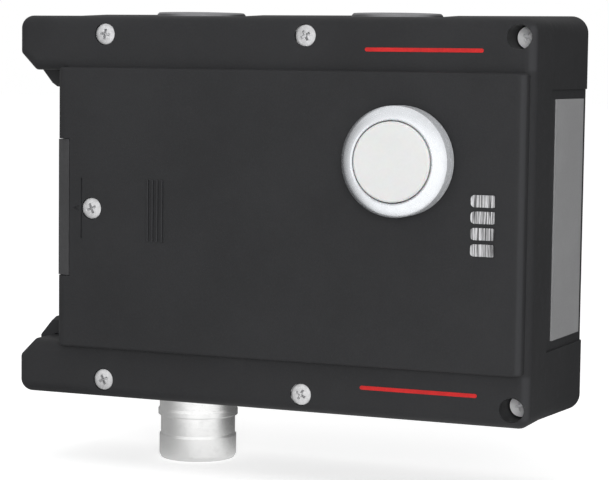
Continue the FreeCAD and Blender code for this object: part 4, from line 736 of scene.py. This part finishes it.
def out_of_front(centre, front, turn):
    """A placement whose Z axis points out of the module's front, at a depth and turned about that axis."""
    facing = Matrix.Rotation(math.radians(90), 4, "X")
    return Matrix.Translation((centre.x, front, centre.z)) @ facing @ Matrix.Rotation(turn, 4, "Z")


# Pieces

def screw_mesh(trim, length):
    """A domed screw with a cross recess and a threaded shank; its crown is at height 0."""
    radius, height, dome = trim.head_radius, trim.head_height, trim.head_dome
    shank, pitch = trim.shank_radius, trim.thread_pitch
    ball = (radius ** 2 + dome ** 2) / (2 * dome)
    rim = radius * 0.97
    neck, root, tip = shank * 0.86, shank * 0.82, shank * 0.6
    profile = [(0.0, 0.0)]
    crown_steps = 7
    for i in range(1, crown_steps + 1):
        at = rim * i / crown_steps
        profile.append((at, -(ball - math.sqrt(ball ** 2 - at ** 2))))
    profile += [(radius, profile[-1][1] - 0.03 * radius), (radius, -height * 0.94), (rim, -height)]
    plain = height + 3 * pitch
    profile += [(neck, -height), (neck, -plain)]
    turns = int((length - plain) / pitch) - 1
    for i in range(turns):
        profile += [(shank, -plain - pitch * (i + 0.5)), (root, -plain - pitch * (i + 1))]
    profile += [(tip, -length), (0.0, -length)]
    body = mesh_from("screw", lambda work: lathe(work, profile))
    cut = boolean(body, mesh_from("recess", lambda work: cross_recess(work, trim)))
    smooth_by_angle(cut, degrees=25)
    return cut


def cross_recess(work, trim):
    """Two crossed tapering blades, to be cut out of a head."""
    reach, width = trim.recess_reach, trim.recess_width / 2
    top, bottom = 0.3 * MM, -trim.recess_depth
    foot_reach, foot_width = reach * 0.45, width * 0.55
    corners = [Vector((along * x, across * y, height))
               for x, y, height in ((reach, width, top), (foot_reach, foot_width, bottom))
               for along, across in ((-1, -1), (1, -1), (1, 1), (-1, 1))]
    for turn in (0, 90):
        spin = Matrix.Rotation(math.radians(turn), 4, "Z")
        made = [work.verts.new(spin @ corner) for corner in corners]
        for face in ((0, 1, 2, 3), (7, 6, 5, 4), (0, 4, 5, 1), (1, 5, 6, 2), (2, 6, 7, 3), (3, 7, 4, 0)):
            work.faces.new([made[i] for i in face])


def merged(name, placed):
    """One mesh from several placed copies of meshes."""
    work = bmesh.new()
    for mesh, place in placed:
        start = len(work.verts)
        work.from_mesh(mesh)
        work.verts.ensure_lookup_table()
        bmesh.ops.transform(work, matrix=place, verts=work.verts[start:])
    made = bpy.data.meshes.new(name)
    work.to_mesh(made)
    work.free()
    return made


def screw_zinc_with_painted_light():
    """Zinc plating of the cover screws; the heads that lie deep in the right corners are painted paler and
    matt, as painted light against the shade of their holes.
    """
    metallic = 0.6
    metal = plated_steel("screw_zinc", COVER_SCREW_ZINC, roughness=0.42, metallic=metallic)
    tree = metal.node_tree
    shader = tree.nodes["Principled BSDF"]
    # painted light: the deep heads get a paler, non-metallic colour so that they read as lit though their
    # holes shade them
    painted_light_heads = ranged(tree, parts_of(tree, object_place(tree))["X"], DEEP_HEADS, DEEP_HEADS + 1 * MM)
    plated = shader.inputs["Base Color"].links[0].from_socket
    drive(shader, "Base Color", blended(tree, "RGBA", painted_light_heads, plated, shade(COVER_SCREW_ZINC, 1.33)))
    drive(shader, "Metallic", ranged(tree, painted_light_heads, 0.0, 1.0, metallic, 0.0))
    return metal


def add_screws():
    """The seven cover screws with their heads turned as they came to rest."""
    _, trim, _ = settings()
    metal = screw_zinc_with_painted_light()
    for node_name in ("cover_screws", "centre_screw"):
        placed = []
        for index, (low, high) in enumerate(clusters(node_name, 2 * trim.head_radius)):
            turn = math.radians(FIRST_SCREW_TURN + NEXT_SCREW_TURN * index)
            place = out_of_front((low + high) / 2, low.y, turn)
            placed.append((screw_mesh(trim, high.y - low.y), place))
        mesh = merged(node_name + "_detail", placed)
        new_piece(node_name + "_detail", mesh, metal, "module", (node_name,))


def rule(work, trim, middle):
    """A thin bar with round ends on a strip, with its middle at a height."""
    half = trim.rule_height / 2
    end_steps = 8
    outline = []
    for centre, start in ((RULE_RIGHT - half, -90), (RULE_RIGHT - trim.rule_length + half, 90)):
        for step in range(end_steps + 1):
            angle = math.radians(start + 180 / end_steps * step)
            outline.append((centre + half * math.cos(angle), middle + half * math.sin(angle)))
    back = [work.verts.new((x, STRIP_FRONT, z)) for x, z in outline]
    front = [work.verts.new((x, STRIP_FRONT - trim.rule_proud, z)) for x, z in outline]
    work.faces.new(back)
    work.faces.new(front)
    bridge(work, back, front)


def add_rules():
    """A plain red rule on each screw strip."""
    finish, trim, _ = settings()
    ink = flat_paint("accent_red", tuple(finish.accent))
    for name, middle in RULE_MIDDLES.items():
        mesh = mesh_from(name, lambda work: rule(work, trim, middle))
        smooth_by_angle(mesh)
        new_piece(name, mesh, ink, "module")


def spring_mesh(name, foot, axis, length, coil_radius, trim):
    """A round-wire spring with closed end turns, from its foot along an axis."""
    wire_radius, turns = trim.wire_radius, trim.spring_turns
    steps = 40
    closed = 0.9
    tight = 2.04 * wire_radius
    rise = length - 2 * wire_radius - 2 * tight
    count = int((turns + 2 * closed) * steps)
    points = []
    for i in range(count + 1):
        turn = i / steps
        height = tight * min(turn, closed) / closed
        height += rise * min(max(turn - closed, 0.0), turns) / turns
        height += tight * max(turn - closed - turns, 0.0) / closed
        angle = math.tau * turn
        points.append(Vector((coil_radius * math.cos(angle), coil_radius * math.sin(angle),
                              wire_radius + height)))

    def build(work):
        rings = []
        for i, point in enumerate(points):
            ahead = points[min(i + 1, count)] - points[max(i - 1, 0)]
            outward = Vector((point.x, point.y, 0)).normalized()
            across = ahead.normalized().cross(outward).normalized()
            rings.append([work.verts.new(point + outward * (wire_radius * math.cos(angle))
                                         + across * (wire_radius * math.sin(angle)))
                          for angle in round_angles(trim.spring_sides)])
        for first, second in zip(rings, rings[1:]):
            bridge(work, first, second)
        work.faces.new(rings[0])
        work.faces.new(rings[-1])

    mesh = mesh_from(name, build)
    turn = Vector((0, 0, 1)).rotation_difference(axis).to_matrix().to_4x4()
    mesh.transform(Matrix.Translation(foot) @ turn)
    smooth_by_angle(mesh, degrees=50)
    return mesh


def add_springs():
    """The button's and the plunger's return springs as drawn wire, each as long as the CAD spring that it
    replaces.
    """
    _, trim, _ = settings()
    wire = plated_steel("spring_wire", SPRING_STEEL, 0.22)
    for name, joint, axis in (("button_spring", "button_press", Vector((0, -1, 0))),
                              ("plunger_spring", "plunger_pull", Vector((0, 0, 1)))):
        low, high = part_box(name)
        middle = (low + high) / 2
        along = high.y - low.y if axis.y else high.z - low.z
        coil_radius = (high.x - low.x) / 2 - trim.wire_radius
        foot = middle - axis * along / 2
        mesh = spring_mesh(name + "_wire", foot, axis, along, coil_radius, trim)
        made = new_piece(name + "_wire", mesh, wire, "module", (name,))
        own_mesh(made)


# Operators

class LOCK_OT_mouldings(bpy.types.Operator):
    """Finish the moulded housing, cover, label and inner plastic pieces"""

    bl_idname = "lock.mouldings"
    bl_label = "Mouldings"

    def execute(self, context):
        finish, _, _ = settings()
        # the moulded body carries the painted corner highlight
        body = moulded_plastic("housing_grain", tuple(finish.plastic), finish.grain, corner_highlight=CORNER_HIGHLIGHT)
        dress(["rear_housing", "front_cover"], body)
        inner = moulded_plastic("inner_moulding", INNER_GREY, finish.grain, 0.45)
        dress(["read_head", "button_plunger", "contact_block", "connector_insert"], inner)
        dress(["terminal_block_upper", "terminal_block_lower"],
              moulded_plastic("terminal_moulding", TERMINAL_GREY, 0.25 * MM, 0.4, 0.05))
        dress(["label_plate"], label_foil("label_satin", tuple(finish.label)))
        return {"FINISHED"}


class LOCK_OT_metalwork(bpy.types.Operator):
    """Finish the casting, connector, plugs, button ring and mechanism"""

    bl_idname = "lock.metalwork"
    bl_label = "Metalwork"

    def execute(self, context):
        finish, _, _ = settings()
        dress(["mouth_frame"], painted_casting("guide_casting", tuple(finish.casting)))
        ring = turned_metal("bezel_satin", RING_SILVER, BUTTON, DEPTH_AXIS, 0.27, metallic=0.9,
                            depth=0.0005 * MM)
        matt_behind(ring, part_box("button_bezel")[0].y + BEZEL_SHOULDER, metallic=0.15)
        dress(["button_bezel"], ring)
        nickel = turned_metal("connector_nickel", tuple(finish.nickel), CONNECTOR, UPRIGHT_AXIS, 0.22,
                              metallic=0.94, depth=0.002 * MM, rounding=0.4 * MM, ledges=0.92)
        dress(["connector_shell"], nickel)
        for name in ("blanking_plug_left", "blanking_plug_right"):
            centre = sum(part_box(name), Vector()) / 2
            dress([name], turned_metal(name + "_nickel", PLUG_NICKEL, centre, UPRIGHT_AXIS, 0.3, 0.9))
        dress(["button_nut"], turned_metal("nut_nickel", NUT_NICKEL, BUTTON, DEPTH_AXIS, 0.35))
        dress(["connector_nut"], turned_metal("brass_nickel", NUT_NICKEL, CONNECTOR, UPRIGHT_AXIS, 0.35))
        dress(["connector_pins"], plated_steel("pin_gold", PIN_GOLD, 0.22))
        dress(["mechanism_plate", "pawl_pin", "locking_pawl", "link_pin", "solenoid_yoke",
               "solenoid_plunger"], plated_steel("mechanism_zinc", MECHANISM_ZINC))
        dress(["plate_screws", "board_screws"], plated_steel("small_screw_zinc", SMALL_SCREW_ZINC, 0.3))
        return {"FINISHED"}


class LOCK_OT_seals(bpy.types.Operator):
    """Finish the gasket and the sealing rings"""

    bl_idname = "lock.seals"
    bl_label = "Seals"

    def execute(self, context):
        rubber = moulded_rubber("seal_rubber", SEAL_BLACK)
        dress(["cover_gasket", "plug_seal_left", "plug_seal_right", "connector_seal", "button_seal"], rubber)
        return {"FINISHED"}


class LOCK_OT_lights(bpy.types.Operator):
    """Finish the button's cap, its lamp and the indicator lenses"""

    bl_idname = "lock.lights"
    bl_label = "Cap and indicators"

    def execute(self, context):
        finish, _, _ = settings()
        dress(["button_lens"], lens_plastic("cap_white", tuple(finish.lens)))
        dress(["button_lamp"], lens_plastic("lamp_dome", LAMP_CREAM))
        guide = guide_plastic("guide_frosted", GUIDE_GREY)
        dress([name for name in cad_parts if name.startswith("light_guide")], guide)
        return {"FINISHED"}


class LOCK_OT_electrics(bpy.types.Operator):
    """Finish the boards and the coil"""

    bl_idname = "lock.electrics"
    bl_label = "Boards and coil"

    def execute(self, context):
        dress(["main_board", "indicator_board"], solder_mask("solder_mask", BOARD_GREEN))
        dress(["solenoid_coil"], taped_coil("coil_tape", TAPE_BROWN))
        return {"FINISHED"}


class LOCK_OT_screws(bpy.types.Operator):
    """Build the cover screws with cross recesses and threads"""

    bl_idname = "lock.screws"
    bl_label = "Cover screws"

    def execute(self, context):
        add_screws()
        return {"FINISHED"}


class LOCK_OT_springs(bpy.types.Operator):
    """Build the two return springs from drawn wire"""

    bl_idname = "lock.springs"
    bl_label = "Springs"

    def execute(self, context):
        add_springs()
        return {"FINISHED"}


class LOCK_OT_rules(bpy.types.Operator):
    """Build the plain red rules on the screw strips"""

    bl_idname = "lock.rules"
    bl_label = "Accent rules"

    def execute(self, context):
        add_rules()
        return {"FINISHED"}


def direction(azimuth, elevation):
    """Unit vector from the module towards a point on the sky; azimuth 0 is in front of it."""
    return Vector((math.sin(azimuth) * math.cos(elevation), -math.cos(azimuth) * math.cos(elevation),
                   math.sin(elevation)))


def add_lamp(name, azimuth, elevation, distance, width, height, power):
    """A soft rectangular lamp that faces the module."""
    lamp = bpy.data.lights.new(name, "AREA")
    lamp.shape = "RECTANGLE"
    lamp.size = width
    lamp.size_y = height
    lamp.energy = power
    made = placed_object(name, lamp)
    away = direction(math.radians(azimuth), math.radians(elevation))
    made.location = away * distance
    made.visible_glossy = False
    made.rotation_mode = "QUATERNION"
    made.rotation_quaternion = away.to_track_quat("Z", "Y")


def add_camera(studio):
    """The camera at the photograph's viewing angle."""
    data = bpy.data.cameras.new("camera")
    data.sensor_fit = "HORIZONTAL"
    data.sensor_width = SENSOR_WIDTH
    data.lens = studio.lens
    data.clip_start = 0.01
    data.clip_end = 50.0
    made = placed_object("camera", data)
    back = direction(studio.azimuth, studio.elevation)
    right = Vector((math.cos(studio.azimuth), math.sin(studio.azimuth), 0))
    up = back.cross(right)
    turned_right = right * math.cos(studio.roll) + up * math.sin(studio.roll)
    turned_up = up * math.cos(studio.roll) - right * math.sin(studio.roll)
    basis = Matrix((turned_right, turned_up, back)).transposed()
    made.matrix_world = Matrix.Translation(Vector(studio.target) + back * studio.distance) @ basis.to_4x4()
    bpy.context.scene.camera = made


def glowing(tree, strength):
    """White light of a strength."""
    return node(tree, "ShaderNodeEmission", {"Color": (1, 1, 1, 1), "Strength": strength}).outputs[0]


def add_floor(studio):
    """A wide pale floor that keeps the module's shadow and shows white to the camera."""
    made, tree, shader = material("floor_white", FLOOR_WHITE, Roughness=0.9, Specular_IOR_Level=0.1)
    seen = node(tree, "ShaderNodeLightPath").outputs
    shown = maths(tree, "MAXIMUM", seen["Is Camera Ray"], seen["Is Transmission Ray"])
    glow = glowing(tree, product(tree, shown, FLOOR_GLOW))
    lit = node(tree, "ShaderNodeAddShader", {0: shader.outputs[0], 1: glow}).outputs[0]
    away = vector_maths(tree, "SUBTRACT", object_place(tree), tuple(sum(COVER, Vector()) / 2))
    mirrored = glowing(tree, sky_tone(tree, levelled(tree, away, FLOOR_RISE)))
    both = node(tree, "ShaderNodeMixShader", {0: seen["Is Glossy Ray"], 1: lit, 2: mirrored}).outputs[0]
    tree.links.new(both, tree.nodes["Material Output"].inputs["Surface"])
    half = studio.floor_half
    level = CAD_BOX[0].z - studio.floor_gap
    mesh = bpy.data.meshes.new("floor")
    corners = [(-half, -half, level), (half, -half, level), (half, half, level), (-half, half, level)]
    mesh.from_pydata(corners, [], [(0, 1, 2, 3)])
    mesh.materials.append(made)
    floor = placed_object("floor", mesh)


def add_world(studio):
    """Even ambient light, white behind the module, and the studio's own tones in reflections."""
    world = bpy.data.worlds.new("studio")
    world.use_nodes = True
    bpy.context.scene.world = world
    tree = world.node_tree
    seen = node(tree, "ShaderNodeLightPath").outputs
    tone = sky_tone(tree, node(tree, "ShaderNodeTexCoord").outputs["Generated"])
    even = blended(tree, "FLOAT", seen["Is Glossy Ray"], studio.ambient, tone)
    clear = maths(tree, "MAXIMUM", seen["Is Camera Ray"], seen["Is Transmission Ray"])
    background = tree.nodes["Background"]
    background.inputs["Color"].default_value = (1, 1, 1, 1)
    drive(background, "Strength", blended(tree, "FLOAT", clear, even, 1.0))


class LOCK_OT_studio(bpy.types.Operator):
    """Set up the floor, lamps, world and camera"""

    bl_idname = "lock.studio"
    bl_label = "Studio"

    def execute(self, context):
        _, _, studio = settings()
        add_world(studio)
        add_floor(studio)
        for name, power, *place in LAMPS:
            add_lamp(name, *place, getattr(studio, power))
        add_camera(studio)
        context.scene.view_settings.view_transform = "Standard"
        return {"FINISHED"}


STEPS = (LOCK_OT_mouldings, LOCK_OT_metalwork, LOCK_OT_seals, LOCK_OT_lights, LOCK_OT_electrics,
         LOCK_OT_screws, LOCK_OT_springs, LOCK_OT_rules, LOCK_OT_studio)


class LOCK_PT_panel(bpy.types.Panel):
    """The module's settings and steps in the sidebar"""

    bl_idname = "LOCK_PT_panel"
    bl_label = "Lock Module"
    bl_space_type = "VIEW_3D"
    bl_region_type = "UI"
    bl_category = "Lock Module"

    def draw(self, context):
        for group in settings():
            column = self.layout.column()
            for name in type(group).__annotations__:
                column.prop(group, name)
        for step in STEPS:
            self.layout.operator(step.bl_idname)


GROUPS = {"lock_finish": FinishSettings, "lock_trim": TrimSettings, "lock_studio": StudioSettings}


def register():
    """Registers the settings, the steps and the panel."""
    for group in GROUPS.values():
        bpy.utils.register_class(group)
    for step in STEPS:
        bpy.utils.register_class(step)
    bpy.utils.register_class(LOCK_PT_panel)
    for name, group in GROUPS.items():
        setattr(bpy.types.Scene, name, PointerProperty(type=group))


def unregister():
    """Takes out what register put in."""
    for name in GROUPS:
        delattr(bpy.types.Scene, name)
    bpy.utils.unregister_class(LOCK_PT_panel)
    for step in reversed(STEPS):
        bpy.utils.unregister_class(step)
    for group in reversed(list(GROUPS.values())):
        bpy.utils.unregister_class(group)


def main():
    """Registers the add-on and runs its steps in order."""
    register()
    for step in STEPS:
        group, name = step.bl_idname.split(".")
        getattr(getattr(bpy.ops, group), name)()


if __name__ == "__main__":
    main()
